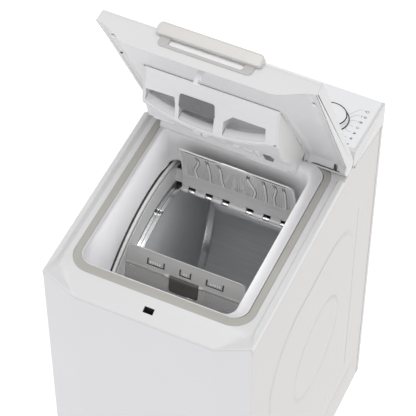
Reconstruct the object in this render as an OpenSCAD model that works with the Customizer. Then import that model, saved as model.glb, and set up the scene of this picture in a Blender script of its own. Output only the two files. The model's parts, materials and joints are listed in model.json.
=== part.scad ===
// Compact top load washing machine with a horizontal drum.
// Origin: centre of the base on the floor. +Z up, front towards -Y, millimetres.
// The lid and both drum flaps are drawn open, which is the rest position.

/* [Cabinet] */
// Width of the cabinet
body_w = 400; // [398:1:404]
// Height of the deck rim above the floor
rim_z = 899; // [897:1:901]
// Front face of the cabinet in the middle
front_y = -317; // [-319:1:-316]
// Front face of the cabinet at its two corners
corner_y = -306; // [-308:1:-305]
// Rear face of the cabinet
rear_y = 302; // [301:1:304]
// Thickness of the painted steel sheet
sheet_t = 1.2; // [0.8:0.1:1.5]

/* [Lid] */
// Height of the lid's hinge axis
hinge_z = 907.5; // [907:0.5:908]
// Distance of the lid's hinge axis behind the origin
hinge_y = 127; // [126:1:128]
// Angle by which the lid stands open at rest
lid_open = 64.8; // [40:0.1:70]
// Radius of the lid's rounded rear edge about its hinge axis
lid_r = 17.5; // [16:0.5:17.5]

/* [Drum and tub] */
// Height of the drum axis
axis_z = 485; // [480:1:490]
// Distance of the drum axis behind the origin
axis_y = 20; // [18:1:22]
// Middle of the drum along the width
drum_x = -8; // [-9:1:-7]
// Outer radius of the drum
drum_r = 240; // [238:1:241]
// Half of the drum's width
drum_half = 135; // [133:1:136]
// Inner radius of the tub
tub_r = 250; // [249:1:251]

/* [Drum flaps] */
// Angle of the front flap's hinge from the top of the drum
front_hinge_a = -42.5; // [-44:0.5:-42]
// Angle of the rear flap's hinge from the top of the drum
rear_hinge_a = 19.3; // [19:0.1:20]
// Angle that each flap spans round the drum
flap_span = 35.3; // [35:0.1:36]
// Angle by which the front flap stands open at rest
front_flap_open = 58.5; // [50:0.5:60]
// Angle by which the rear flap stands open at rest
rear_flap_open = 79.6; // [70:0.1:80]

/* [Controls] */
// Place of the program knob along the width
knob_x = 123; // [110:1:130]
// Radius of the program knob
knob_r = 32; // [28:1:34]

/* [Hidden] */
$fn = 96;
half_w = body_w / 2;
deck_z = rim_z - 10;            // level of the deck inside its rim
dip_z = rim_z - 28;             // front edge of the deck in the middle
bow_x = 135;                    // where the front face bends back to the corners
deck_rear = 145.5;              // rear edge of the deck
deck_t = 3;                     // wall of the moulded deck
panel_top = rim_z - 18;         // top edge of the side panels
console_low = 846;              // lower rear edge of the console's cheeks
plinth_z = 112;                 // top edge of the kick plate
base_z = 32;                    // underside of the base pan
lid_gap = 1;                    // gap between the closed lid and the deck
lid_low = rim_z + lid_gap;
lid_top = hinge_z + lid_r;
lid_t = 2.5;                    // wall of the lid
lid_front = -296;               // front edge of the lid's top face
band_lean = 0.4;                // how far the lid's front band leans, per unit of height
facia_y0 = 152;
facia_z0 = 925;
facia_fall = 0.12;              // fall of the console's top towards the rear
facia_a = atan(facia_fall);
knob_y = 212;
flap_x0 = drum_x - 118;
flap_x1 = drum_x + 118;
pin_r = 2;
knuckle_r = 4.5;
fit = 0.06;                     // radial clearance of a running fit
motor_y = 150;
motor_z = 135;
pump_x = 75;
pump_y = -215;
pump_z = 85;
lock_y = -294;                  // latch hole, along the depth
foot_x = [-165, 165];
foot_y = [-262, 262];

// ---------- shared shapes ----------

module box(x0, x1, y0, y1, z0, z1) {
    translate([x0, y0, z0]) cube([x1 - x0, y1 - y0, z1 - z0]);
}

module x_rod(r, x0, x1, y, z) {
    translate([x0, y, z]) rotate([0, 90, 0]) cylinder(r = r, h = x1 - x0);
}

module y_rod(r, y0, y1, x, z) {
    translate([x, y1, z]) rotate([90, 0, 0]) cylinder(r = r, h = y1 - y0);
}

module x_tube(r_out, r_in, x0, x1, y, z) {
    difference() {
        x_rod(r_out, x0, x1, y, z);
        x_rod(r_in, x0 - 1, x1 + 1, y, z);
    }
}

// Outline in depth and height, extruded along the width
module side_prism(x0, x1, outline) {
    translate([x0, 0, 0]) rotate([90, 0, 90]) linear_extrude(x1 - x0) polygon(outline);
}

// Outline in width and height, extruded along the depth
module front_prism(y0, y1, outline) {
    translate([0, y1, 0]) rotate([90, 0, 0]) linear_extrude(y1 - y0) polygon(outline);
}

// Flat rounded rectangle
module round_rect(x0, x1, y0, y1, r) {
    translate([x0 + r, y0]) square([x1 - x0 - 2 * r, y1 - y0]);
    translate([x0, y0 + r]) square([x1 - x0, y1 - y0 - 2 * r]);
    for (x = [x0 + r, x1 - r], y = [y0 + r, y1 - r]) translate([x, y]) circle(r);
}

module round_block(x0, x1, y0, y1, z0, z1, r) {
    translate([0, 0, z0]) linear_extrude(z1 - z0) round_rect(x0, x1, y0, y1, r);
}

// Wedge about the drum axis, from angle a0 to a1 measured from the top towards the rear
module wedge(x0, x1, a0, a1, reach = 420) {
    steps = 4;
    arc = [for (i = [0:steps]) let (a = a0 + (a1 - a0) * i / steps)
        [axis_y + reach * sin(a), axis_z + reach * cos(a)]];
    side_prism(x0, x1, concat([[axis_y, axis_z]], arc));
}

// Part of a tube about the drum axis
module curved_plate(x0, x1, r_in, r_out, a0, a1) {
    intersection() {
        x_tube(r_out, r_in, x0, x1, axis_y, axis_z);
        wedge(x0 - 1, x1 + 1, a0, a1);
    }
}

function drum_point(a, r = drum_r) = [0, axis_y + r * sin(a), axis_z + r * cos(a)];

module turn_about(point, angle) {
    translate(point) rotate([angle, 0, 0]) translate(-point) children();
}

module lid_pose() {
    turn_about([0, hinge_y, hinge_z], -lid_open) children();
}

module front_flap_pose() {
    turn_about(drum_point(front_hinge_a), front_flap_open) children();
}

module rear_flap_pose() {
    turn_about(drum_point(rear_hinge_a), -rear_flap_open) children();
}

module on_facia(x, y) {
    translate([x, y, facia_z0 - facia_fall * (y - facia_y0)]) rotate([-facia_a, 0, 0]) children();
}

module both_sides() {
    children();
    mirror([1, 0, 0]) children();
}

// ---------- cabinet ----------

module base_pan() color("silver") difference() {
    box(-half_w + 2, half_w - 2, -300, 299, base_z, base_z + 30);
    box(-half_w + 4, half_w - 4, -298, 297, base_z + 2, base_z + 31);
    round_block(-110, 110, -150, 150, base_z - 1, base_z + 3, 40);
    for (x = foot_x, y = foot_y) translate([x, y, base_z - 1]) cylinder(r = 5, h = 4);
    y_rod(29, -301, -297, pump_x, pump_z);
}

module levelling_feet() color("dimgray")
    for (x = foot_x, y = foot_y) translate([x, y, 0]) {
        cylinder(r = 21, h = 8);
        translate([0, 0, 8]) cylinder(r1 = 19, r2 = 9, h = 8);
        translate([0, 0, 16]) cylinder(r = 4.9, h = 40);
        translate([0, 0, 24]) cylinder(r = 9, h = base_z - 24, $fn = 6);
    }

front_outline = [
    [-half_w, corner_y + 1.8], [-half_w, corner_y], [-bow_x, front_y], [bow_x, front_y],
    [half_w, corner_y], [half_w, corner_y + 1.8], [bow_x, front_y + sheet_t],
    [-bow_x, front_y + sheet_t]
];

// Everything above the front panel's dipped top edge, raised by lift
module above_dip(lift) {
    front_prism(-340, -290, [
        [-bow_x, dip_z - 2 + lift], [bow_x, dip_z - 2 + lift], [half_w, rim_z - 3 + lift],
        [half_w + 10, rim_z - 3 + lift], [half_w + 10, 960], [-half_w - 10, 960],
        [-half_w - 10, rim_z - 3 + lift], [-half_w, rim_z - 3 + lift]
    ]);
}

module front_panel() color("gainsboro") difference() {
    translate([0, 0, plinth_z + 1]) linear_extrude(rim_z - plinth_z) polygon(front_outline);
    above_dip(0);
}

module side_panel(s) difference() {
    union() {
        box(half_w - sheet_t, half_w, corner_y + 2, rear_y - 1, base_z + 2, panel_top);
        box(half_w - 16, half_w, rear_y - 2.2, rear_y - 1, base_z + 2, console_low - 1);
        box(half_w - 16, half_w, corner_y + 2, corner_y + 3.2, base_z + 2, dip_z - 6);
    }
    side_prism(half_w - 20, half_w + 1, [
        [150, panel_top + 1], [rear_y, console_low - 1], [rear_y + 5, console_low - 1],
        [rear_y + 5, panel_top + 5], [150, panel_top + 5]
    ]);
}

module side_panel_left() color("whitesmoke") mirror([1, 0, 0]) side_panel();

module side_panel_right() color("whitesmoke") side_panel();

module rear_panel() color("lightgray") difference() {
    box(-half_w + 18, half_w - 18, rear_y - 4, rear_y - 2.6, base_z + 32, console_low - 2);
    for (x = [-120, 120], z = [250, 620]) y_rod(14, rear_y - 6, rear_y, x, z);
    y_rod(14.6, rear_y - 6, rear_y, -130, 800);
    y_rod(12.6, rear_y - 6, rear_y, 130, 780);
    y_rod(9, rear_y - 6, rear_y, 60, 800);
}

module kick_plate() color("whitesmoke") difference() {
    translate([0, 0, base_z + 2]) linear_extrude(plinth_z - base_z - 2) polygon(front_outline);
    box(19, 131, -330, -300, 42, 104.5);
}

module filter_door() color("white") {
    box(20, 130, -316.6, -313.6, 46, 103);
    for (x = [24, 118]) {
        x_rod(2.6, x, x + 8, -312.4, 48);
        box(x, x + 8, -314, -311.5, 48, 60);
    }
}

module filter_cap() color("dimgray") {
    y_rod(27, -300, -262, pump_x, pump_z);
    box(pump_x - 20, pump_x + 20, -307, -299.9, pump_z - 4, pump_z + 4);
    y_rod(22, -262.1, -240, pump_x, pump_z);
}

module drain_pump() color("lightslategray") difference() {
    union() {
        y_rod(34, -290, -180, pump_x, pump_z);
        y_rod(26, -180, -120, pump_x, pump_z);
        translate([pump_x, -200, pump_z]) cylinder(r = 13, h = 60);
        box(pump_x - 30, pump_x + 30, -230, -150, base_z + 2, pump_z - 20);
    }
    y_rod(27.4, -291, -225, pump_x, pump_z);
    y_rod(23, -226, -184, pump_x, pump_z);
    y_rod(4 + fit, -185, -130, pump_x, pump_z);
    translate([pump_x, -200, pump_z]) cylinder(r = 9, h = 61);
}

module pump_impeller() color("white") {
    y_rod(4, -200, -135, pump_x, pump_z);
    y_rod(7, -212, -196, pump_x, pump_z);
    for (a = [0:60:300]) translate([pump_x, 0, pump_z]) rotate([0, a, 0])
        box(5, 20, -210, -190, -1.2, 1.2);
}

// ---------- deck and loading opening ----------

deck_outline = [
    [-half_w, deck_rear], [-half_w, corner_y], [-bow_x, front_y], [bow_x, front_y],
    [half_w, corner_y], [half_w, deck_rear]
];

// Space above the sloping front of the deck
module above_front_slope() hull()
    for (s = [-1, 1]) {
        for (y = [front_y, front_y - 12]) translate([s * bow_x, y, dip_z]) cube(0.01);
        for (y = [corner_y, corner_y - 20]) translate([s * half_w, y, rim_z]) cube(0.01);
        translate([s * 188, -272, deck_z]) cube(0.01);
        translate([s * 188, -272, 940]) cube(0.01);
        translate([s * half_w, front_y - 12, 940]) cube(0.01);
    }

module top_deck() color("whitesmoke") difference() {
    translate([0, 0, dip_z - 1.4]) linear_extrude(rim_z - dip_z + 1.4) polygon(deck_outline);
    above_front_slope();
    box(-188, 188, -272.1, 160, deck_z, 940);
    box(-half_w - 1, half_w + 1, 103, 160, deck_z, 940);
    box(-half_w + deck_t, half_w - deck_t, -270, deck_rear - deck_t, 860, deck_z - deck_t);
    both_sides() box(half_w - deck_t - 0.2, half_w + 1, corner_y + 1.6, 160, 860, panel_top + 0.4);
    side_prism(-bow_x, bow_x, [[-270.1, deck_z - 3.2], [-270.1, 860], [-313, 860],
        [-313, dip_z - 1.6]]);
    difference() {
        box(-half_w - 1, half_w + 1, -330, corner_y + 1.7, 860, 905);
        above_dip(0.4);
    }
    round_block(-168, 168, -263, 128, 850, 940, 35);
    round_block(-175.1, 175.1, -272.1, 135.1, deck_z - 4, 940, 42.1);
    box(-9.5, 9.5, lock_y - 6.5, lock_y + 4, 860, 940);
}

module deck_gasket() color("darkgray") difference() {
    round_block(-175, 175, -272, 135, deck_z - 4, deck_z + 0.6, 42);
    round_block(-161, 161, -254, 121, deck_z - 5, deck_z + 2, 28);
}

module funnel_body(wall) {
    round_block(-161 - wall, 161 + wall, -254 - wall, 121 + wall, 880, deck_z - 4, 28 + wall);
    hull() {
        round_block(-161 - wall, 161 + wall, -254 - wall, 121 + wall, 879.9, 880, 28 + wall, $fn = 48);
        round_block(-159 - wall, 133 + wall, -239 - wall, 118 + wall, 866, 866.1, 24 + wall, $fn = 48);
    }
    hull() {
        round_block(-159 - wall, 133 + wall, -239 - wall, 118 + wall, 866, 866.1, 24 + wall, $fn = 48);
        round_block(-158 - wall, 132 + wall, -206 - wall, 118 + wall, 630, 630.1, 24 + wall, $fn = 48);
    }
}

module loading_funnel() color("whitesmoke") difference() {
    union() {
        funnel_body(3);
        round_block(-167.7, 167.7, -262.7, 127.7, deck_z - 8, deck_z - 4, 34.7);
    }
    difference() {
        funnel_body(0);
        box(-200, 200, -300, 200, 600, 620);
    }
    round_block(-161, 161, -254, 121, deck_z - 9, deck_z, 28);
    x_rod(292, -220, 220, axis_y, axis_z);
}

module tub_bellows() color("dimgray") difference() {
    curved_plate(-162, 137, 276.6, 291.6, -53, 21.2);
    wedge(-156, 130, -51.3, 19.4);
}

module lid_lock_housing() color("dimgray") difference() {
    box(-34, 34, lock_y - 11, lock_y + 9, 842, 866);
    box(-10, 10, lock_y - 7.5, lock_y + 5, 848, 870);
    box(9, 32, lock_y - 2.2, lock_y + 2.2, 856.8, 863.2);
}

module lid_lock_bolt() color("gold")
    box(11, 23, lock_y - 1.8, lock_y + 1.8, 857.2, 862.8);

module hinge_brackets() color("silver") both_sides() difference() {
    union() {
        box(175, 179, hinge_y - 8, hinge_y + 8, deck_z, hinge_z);
        x_rod(8, 175, 179, hinge_y, hinge_z);
    }
    x_rod(3, 170, 190, hinge_y, hinge_z);
}

module lid_hinge_pins() color("lightsteelblue") both_sides()
    x_rod(3, 173, 194, hinge_y, hinge_z);

// ---------- console ----------

module console_housing() color("white") difference() {
    side_prism(-half_w, half_w, [
        [147, deck_z + 0.6], [147, 913], [facia_y0, facia_z0],
        [rear_y, facia_z0 - facia_fall * (rear_y - facia_y0)],
        [rear_y, console_low], [152, panel_top + 2], [147, panel_top + 2]
    ]);
    side_prism(-half_w + 3, half_w - 3, [
        [150, 860], [150, 912], [154, facia_z0 - 4],
        [rear_y - 3, facia_z0 - 4 - facia_fall * (rear_y - facia_y0)], [rear_y - 3, 830]
    ]);
    on_facia(0, 0) box(-190, 190, 160, 296, -1.6, 5);
    on_facia(0, 0) box(-180, 180, 168, 288, -10, 5);
}

module facia_cut(x, r) {
    on_facia(x, knob_y) translate([0, 0, -8]) cylinder(r = r, h = 20);
}

module console_facia() color("ghostwhite") difference() {
    union() {
        on_facia(0, 0) box(-189.8, 189.8, 160.2, 295.8, -1.6, 0.4);
        on_facia(0, 0) box(-179.8, 179.8, 168.2, 287.8, -4, -1.5);
    }
    facia_cut(knob_x, 4);
    facia_cut(-120, 9.5);
    facia_cut(-80, 9.5);
}

module program_knob() color("white") on_facia(knob_x, knob_y) {
    translate([0, 0, 0.8]) cylinder(r = knob_r + 4, h = 3);
    translate([0, 0, 3.7]) cylinder(r1 = knob_r + 1, r2 = knob_r, h = 8.3);
    translate([0, 0, -17]) cylinder(r = 3, h = 18);
}

module push_button(x) on_facia(x, knob_y) {
    translate([0, 0, -8]) cylinder(r = 9, h = 10.6);
    translate([0, 0, -8]) cylinder(r = 10.5, h = 2.6);
}

module start_button() color("white") push_button(-120);

module option_button() color("white") push_button(-80);

module control_board() color("seagreen") difference() {
    union() {
        on_facia(0, 0) box(-170, 170, 176, 280, -24, -22.4);
        on_facia(knob_x, knob_y) translate([0, 0, -22.5]) cylinder(r = 14, h = 9);
        on_facia(0, 0) box(-60, 10, 200, 260, -22.5, -9);
    }
    on_facia(knob_x, knob_y) translate([0, 0, -20]) cylinder(r = 3 + fit, h = 20);
}

// ---------- water, mains and fixings at the rear ----------

module inlet_valve() color("royalblue") difference() {
    union() {
        y_rod(13.2, rear_y - 6, rear_y + 15, -130, 800);
        y_rod(20, rear_y - 40, rear_y - 4.2, -130, 800);
        box(-155, -105, rear_y - 62, rear_y - 38, 775, 825);
        translate([-130, rear_y - 50, 824]) cylinder(r = 6, h = 16);
    }
    y_rod(9, rear_y - 30, rear_y + 16, -130, 800);
}

module drain_spigot() color("dimgray") difference() {
    union() {
        y_rod(11, rear_y - 2.4, rear_y + 15, 130, 780);
        y_rod(18, rear_y - 8, rear_y - 4.2, 130, 780);
        y_rod(12.4, rear_y - 4.3, rear_y - 2.3, 130, 780);
        y_rod(11, rear_y - 40, rear_y - 7.9, 130, 780);
    }
    y_rod(8, rear_y - 41, rear_y + 16, 130, 780);
}

module mains_gland() color("black") difference() {
    union() {
        y_rod(8.8, rear_y - 7, rear_y + 3, 60, 800);
        y_rod(12, rear_y - 2.4, rear_y + 2, 60, 800);
        y_rod(12, rear_y - 7, rear_y - 4.2, 60, 800);
    }
    y_rod(4, rear_y - 8, rear_y + 4, 60, 800);
}

module transit_caps() color("white")
    for (x = [-120, 120], z = [250, 620]) {
        y_rod(18, rear_y - 2.5, rear_y - 0.2, x, z);
        y_rod(13.8, rear_y - 9, rear_y - 2.4, x, z);
    }

module panel_screws() color("silver")
    for (x = [-half_w + 21, half_w - 21], z = [90, 350, 600, 830])
        y_rod(4.5, rear_y - 2.55, rear_y - 0.6, x, z);

// One coil spring between two heights
module coil_spring(x, y, z0, z1) {
    turns = 7;
    steps = 8;
    sides = 4;
    coil_r = 9;
    wire_r = 1.6;
    count = turns * steps;
    points = [for (i = [0:count], k = [0:sides - 1])
        let (a = 360 * i / steps, b = 360 * k / sides, r = coil_r + wire_r * cos(b))
        [x + r * cos(a), y + r * sin(a), z0 + (z1 - z0) * i / count + wire_r * sin(b)]];
    ring = [for (k = [0:sides - 1]) k];
    faces = concat(
        [ring],
        [[for (k = [sides - 1:-1:0]) count * sides + k]],
        [for (i = [0:count - 1], k = [0:sides - 1]) let (n = (k + 1) % sides)
            [i * sides + k, (i + 1) * sides + k, (i + 1) * sides + n, i * sides + n]]
    );
    polyhedron(points, faces);
}

module suspension_springs() color("lightslategray")
    for (x = [-184, 180], y = [-150, 190]) coil_spring(x, y, 640, 830);

// ---------- lid, drawn closed and turned to its rest angle ----------

function lid_arc(r) = [for (a = [90:-15:-90]) [hinge_y + r * cos(a), hinge_z + r * sin(a)]];

module lid_form() side_prism(-half_w, half_w, concat(
    [[lid_front, lid_top]], lid_arc(lid_r),
    [[112, hinge_z - lid_r], [104, lid_low], [-302, lid_low],
     [-302, dip_z + 3], [lid_front - band_lean * (lid_top - dip_z - 3), dip_z + 3]]
));

module lid_outer() color("whitesmoke") lid_pose() difference() {
    union() {
        difference() {
            lid_form();
            side_prism(-half_w + lid_t, half_w - lid_t, concat(
                [[lid_front + 2.7, lid_top - lid_t]], lid_arc(lid_r - lid_t),
                [[hinge_y, 860], [-313.5, 860], [-313.5, dip_z + 2]]
            ));
        }
        both_sides() x_rod(8, 181, half_w - 1, hinge_y, hinge_z);
    }
    both_sides() {
        x_rod(3 + fit, 180, 195, hinge_y, hinge_z);
        box(173.5, 180.5, hinge_y - 10, hinge_y + lid_r + 1, 884, hinge_z + 9.5);
    }
    both_sides() front_prism(-330, -290, [[bow_x, dip_z + 2], [bow_x, dip_z + 3],
        [half_w - 2, lid_low], [half_w + 5, lid_low], [half_w + 5, dip_z + 2]]);
    box(-67, 67, -330, -290, 897, 908);
}

module lid_liner() color("gainsboro") lid_pose() difference() {
    union() {
        round_block(-192, 192, -286, 98, lid_low + 1, lid_low + 3.5, 20);
        side_prism(-128, 128, [[-284, lid_low + 1], [-284, lid_low + 3.5], [-292, lid_low + 3.5],
            [-309.5, 880], [-308.5, 878]]);
        box(-72, 72, -292, -289.6, lid_low + 3.4, lid_top - 4);
    }
    both_sides() box(164, 200, 84, 120, 880, 920);
    round_block(-158, 116, -122, 112, 880, 930, 4);
}

module lid_handle() color("rosybrown") lid_pose() difference() {
    translate([0, -288, 910]) rotate([90, 0, 0]) linear_extrude(24) round_rect(-95, 95, 1, 24, 8);
    box(-96, 96, -297, -287, 905, lid_top + 0.2);
    side_prism(-96, 96, [[-297.1, lid_top + 0.2], [-304.6, 905], [-290, 905], [-290, lid_top + 0.2]]);
}

module handle_bezel() color("silver") lid_pose() difference() {
    side_prism(-86, 86, [[-304.2, 910.4], [-311, 892.6], [-314, 892.6], [-307.4, 910.4]]);
    front_prism(-330, -290, [[-67, 896.5], [-67, 920], [67, 920], [67, 896.5]]);
}

module latch_hook() color("whitesmoke") lid_pose() difference() {
    union() {
        side_prism(-5, 5, [[lock_y - 2, 852], [lock_y + 2, 852], [lock_y + 2, 892], [lock_y - 2, 888.2]]);
        side_prism(-16, 16, [[-297.97, 887.82], [-287.97, 897.2], [-286.87, 896.04], [-296.87, 886.66]]);
    }
    box(1, 6, lock_y - 3, lock_y + 3, 856.6, 863.4);
}

module lid_buffers() color("dimgray") lid_pose() both_sides()
    translate([181, -258, deck_z + 1]) cylinder(r = 4, h = lid_low - deck_z);

module lid_screws() color("black") lid_pose() both_sides() {
    translate([178, -235, lid_low - 0.4]) cylinder(r = 2.6, h = 1.3);
    translate([178, 60, lid_low - 0.4]) cylinder(r = 2.6, h = 1.3);
}

tray_outline = [
    [-118, lid_low + 0.5], [-48, 850], [-38, 846.5], [8, 848], [56, 866], [90, 866],
    [94, 858], [106, 857], [106, lid_low + 12], [90, lid_low + 12], [90, lid_low + 0.5]
];
tray_hollow = [
    [-108, 898], [-46, 853.2], [-37, 849.5], [7, 851], [55, 869], [88, 869], [88, 898]
];
tray_pockets = [[-149, -90], [-82, -14], [2, 82]];

module tray_mouth(x0, x1) side_prism(x0, x1, [
    [-83.3, 871.8], [-54.9, 851.3], [-50.8, 856.9], [-79.2, 877.4]
]);

module dispenser_tray() color("gainsboro") lid_pose() difference() {
    side_prism(-153, 112, tray_outline);
    for (p = tray_pockets) {
        side_prism(p[0], p[1], tray_hollow);
        tray_mouth(p[0], p[1]);
    }
    box(-150, 109, 92.5, 103.5, 862, 920);
    side_prism(85, 109, [[-100, 920], [-100, 894], [-46, 854], [-37, 850], [7, 851.5], [55, 869.5],
        [88, 869.5], [88, 920]]);
}

module softener_cap() color("dimgray") lid_pose()
    side_prism(-81.4, -14.6, [[-79.6, 876.6], [-67, 867.2], [-65.2, 869.6], [-77.8, 879]]);

// ---------- tub ----------

module tub_shell() color("lightgray") difference() {
    union() {
        x_tube(256, tub_r, -165.8, 149.8, axis_y, axis_z);
        for (x = [-165.8, 143.8]) x_tube(262, tub_r, x, x + 6, axis_y, axis_z);
        curved_plate(-154, 138, 255, 276, -53, 21.4);
    }
    wedge(-150, 134, -52, 20.4);
    translate([-60, axis_y, axis_z - 262]) cylinder(r = 16, h = 30);
}

module tub_end(x0, x1, hub0, hub1) difference() {
    union() {
        x_rod(262, x0, x1, axis_y, axis_z);
        x_rod(45, hub0, hub1, axis_y, axis_z);
        for (a = [0:45:315]) turn_about([0, axis_y, axis_z], a)
            box(min(x0, hub0), max(x1, hub1), axis_y - 3, axis_y + 3, axis_z + 40, axis_z + 150);
    }
    x_rod(26, hub0 - 1, hub1 + 1, axis_y, axis_z);
}

module tub_end_left() color("gray") tub_end(-172, -166, -190, -166);

module tub_end_right() color("gray") tub_end(150, 156, 150, 170);

module drum_bearings() color("silver")
    for (x = [-188, 154]) x_tube(25.96, 12.5 + fit, x, x + 15, axis_y, axis_z);

module shaft_seals() color("black")
    for (x = [-172.5, 150.4]) x_tube(25.9, 12.9, x, x + 3.4, axis_y, axis_z);

module counterweights() color("darkgray") {
    difference() {
        curved_plate(-120, 104, 257, 296, 112, 140);
        box(-130, 120, motor_y - 60, motor_y + 60, 60, 225);
    }
    curved_plate(-120, 104, 257, 290, -104, -72);
}

module motor_body() color("slategray") difference() {
    union() {
        x_rod(56, 20, 150, motor_y, motor_z);
        x_rod(30, 150, 158, motor_y, motor_z);
        box(40, 130, motor_y - 8, motor_y + 8, motor_z + 50, motor_z + 74);
    }
    x_rod(42, 26, 144, motor_y, motor_z);
    x_rod(5 + fit, 143, 160, motor_y, motor_z);
}

module motor_rotor() color("silver") {
    x_rod(40, 40, 130, motor_y, motor_z);
    x_rod(5, 120, 190, motor_y, motor_z);
    x_rod(11, 171, 189, motor_y, motor_z);
}

module belt_loop(grow) hull() {
    x_rod(130 + grow, 174, 186, axis_y, axis_z, $fn = 64);
    x_rod(11 + grow, 174, 186, motor_y, motor_z, $fn = 64);
}

module drive_belt() color("black") difference() {
    belt_loop(3.6);
    translate([-1, 0, 0]) belt_loop(0.5);
    translate([1, 0, 0]) belt_loop(0.5);
}

module heating_element() color("silver") {
    for (y = [axis_y - 14, axis_y + 14]) x_rod(3.4, -90, 100, y, axis_z - 244.4);
    box(-94, -88, axis_y - 18, axis_y + 18, axis_z - 248, axis_z - 241);
}

module sump_hose() color("black") difference() {
    union() {
        translate([-60, axis_y, 150]) cylinder(r = 22, h = axis_z - 262 - 150);
        x_rod(20, -60, pump_x - 40, axis_y, 150);
        translate([-60, axis_y, 150]) sphere(r = 22);
    }
    translate([-60, axis_y, 150]) cylinder(r = 17, h = 90);
    x_rod(16, -60, pump_x - 39, axis_y, 150);
}

// ---------- drum ----------

module drum_shell() color("gray") {
    difference() {
        x_tube(drum_r, drum_r - 2, drum_x - drum_half, drum_x + drum_half, axis_y, axis_z);
        wedge(flap_x0 - 2, flap_x1 + 2, front_hinge_a - 1.5, rear_hinge_a + 1.5);
    }
    for (a = [front_hinge_a, rear_hinge_a], x = hinge_marks) difference() {
        union() {
            x_rod(4, drum_x + x - 6, drum_x + x + 6, drum_point(a)[1], drum_point(a)[2]);
            curved_plate(drum_x + x - 6, drum_x + x + 6, drum_r - 2, drum_r,
                min(a, a * 1.07), max(a, a * 1.07) + (a > 0 ? 1 : 0));
        }
        x_rod(pin_r + 0.02, drum_x + x - 7, drum_x + x + 7, drum_point(a)[1], drum_point(a)[2]);
    }
}

hinge_marks = [-96, -60, -25, 25, 60, 96];
hook_marks = [-60, 0, 60];

module drum_end_plates() color("silver")
    for (x = [drum_x - drum_half, drum_x + drum_half - 3]) difference() {
        x_rod(drum_r - 2.1, x, x + 3, axis_y, axis_z);
        x_rod(12.6, x - 1, x + 4, axis_y, axis_z);
    }

module drum_shafts() color("lightsteelblue") {
    x_rod(12.5, -194, drum_x - drum_half + 3, axis_y, axis_z);
    x_rod(12.5, drum_x + drum_half - 3, 192, axis_y, axis_z);
    x_rod(60, drum_x - drum_half - 6, drum_x - drum_half - 0.05, axis_y, axis_z);
    x_rod(60, drum_x + drum_half + 0.05, drum_x + drum_half + 6, axis_y, axis_z);
}

module drum_pulley() color("silver") difference() {
    union() {
        x_tube(130, 116, 173, 187, axis_y, axis_z);
        x_tube(30, 12.52, 173, 190, axis_y, axis_z);
        for (a = [0:60:300]) turn_about([0, axis_y, axis_z], a)
            box(175, 185, axis_y - 9, axis_y + 9, axis_z + 26, axis_z + 120);
    }
    x_rod(12.52, 170, 195, axis_y, axis_z);
}

module drum_lifters() color("silver")
    for (a = [70, 160, 250]) turn_about([0, axis_y, axis_z], -a) difference() {
        side_prism(drum_x - 125, drum_x + 125, [
            [axis_y - 26, axis_z + 235.5], [axis_y - 9, axis_z + 190], [axis_y + 9, axis_z + 190],
            [axis_y + 26, axis_z + 235.5]
        ]);
        side_prism(drum_x - 123, drum_x + 123, [
            [axis_y - 23.8, axis_z + 236], [axis_y - 7.5, axis_z + 192], [axis_y + 7.5, axis_z + 192],
            [axis_y + 23.8, axis_z + 236]
        ]);
    }

module flap_hinge_rods() color("white")
    for (a = [front_hinge_a, rear_hinge_a])
        x_rod(pin_r, flap_x0, flap_x1, drum_point(a)[1], drum_point(a)[2]);

// Hinge knuckles of one flap, in the gaps between the drum's own loops
knuckle_spans = [[-117, -103.5], [-88.5, -67.5], [-52.5, -32.5], [-17.5, 17.5], [32.5, 52.5],
    [67.5, 88.5], [103.5, 117]];

module knuckles(a) for (s = knuckle_spans)
    x_tube(knuckle_r, pin_r + fit, drum_x + s[0], drum_x + s[1], drum_point(a)[1], drum_point(a)[2]);

module front_flap() color("darkgray") front_flap_pose() {
    difference() {
        curved_plate(flap_x0, flap_x1, 234.6, 238, front_hinge_a + 1.9, front_hinge_a + flap_span);
        wedge(drum_x - 30.8, drum_x + 30.8, -26, -17);
        for (s = hook_marks) wedge(drum_x + s - 15, drum_x + s + 15, -13.2, -9.6);
    }
    knuckle_arms(front_hinge_a, 1, 234.6, 238);
    knuckles(front_hinge_a);
}

module rear_flap() color("darkgray") rear_flap_pose() {
    curved_plate(flap_x0, flap_x1, 240.4, 243.6, rear_hinge_a - flap_span, rear_hinge_a - 1.9);
    knuckle_arms(rear_hinge_a, -1, 240.4, 243.6);
    knuckles(rear_hinge_a);
}

module knuckle_arms(a, s, r_in, r_out) difference() {
    for (k = knuckle_spans)
        curved_plate(drum_x + k[0], drum_x + k[1], r_in, r_out, min(a + s * 0.3, a + s * 2),
            max(a + s * 0.3, a + s * 2));
    x_rod(pin_r + 1, -200, 200, drum_point(a)[1], drum_point(a)[2]);
}

module flap_button() color("black") front_flap_pose()
    curved_plate(drum_x - 30, drum_x + 30, 232, 239.2, -25.8, -17.2);

// ---------- placing ----------

base_pan();
levelling_feet();
front_panel();
side_panel_left();
side_panel_right();
rear_panel();
kick_plate();
filter_door();
filter_cap();
drain_pump();
pump_impeller();
top_deck();
deck_gasket();
loading_funnel();
tub_bellows();
lid_lock_housing();
lid_lock_bolt();
hinge_brackets();
lid_hinge_pins();
console_housing();
console_facia();
program_knob();
start_button();
option_button();
control_board();
inlet_valve();
drain_spigot();
mains_gland();
transit_caps();
panel_screws();
suspension_springs();
lid_outer();
lid_liner();
lid_handle();
handle_bezel();
latch_hook();
lid_buffers();
lid_screws();
dispenser_tray();
softener_cap();
tub_shell();
tub_end_left();
tub_end_right();
drum_bearings();
shaft_seals();
counterweights();
motor_body();
motor_rotor();
drive_belt();
heating_element();
sump_hose();
drum_shell();
drum_end_plates();
drum_shafts();
drum_pulley();
drum_lifters();
flap_hinge_rods();
front_flap();
rear_flap();
flap_button();
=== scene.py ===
import json
import math

import bmesh
import bpy
from mathutils import Matrix, Vector


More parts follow.
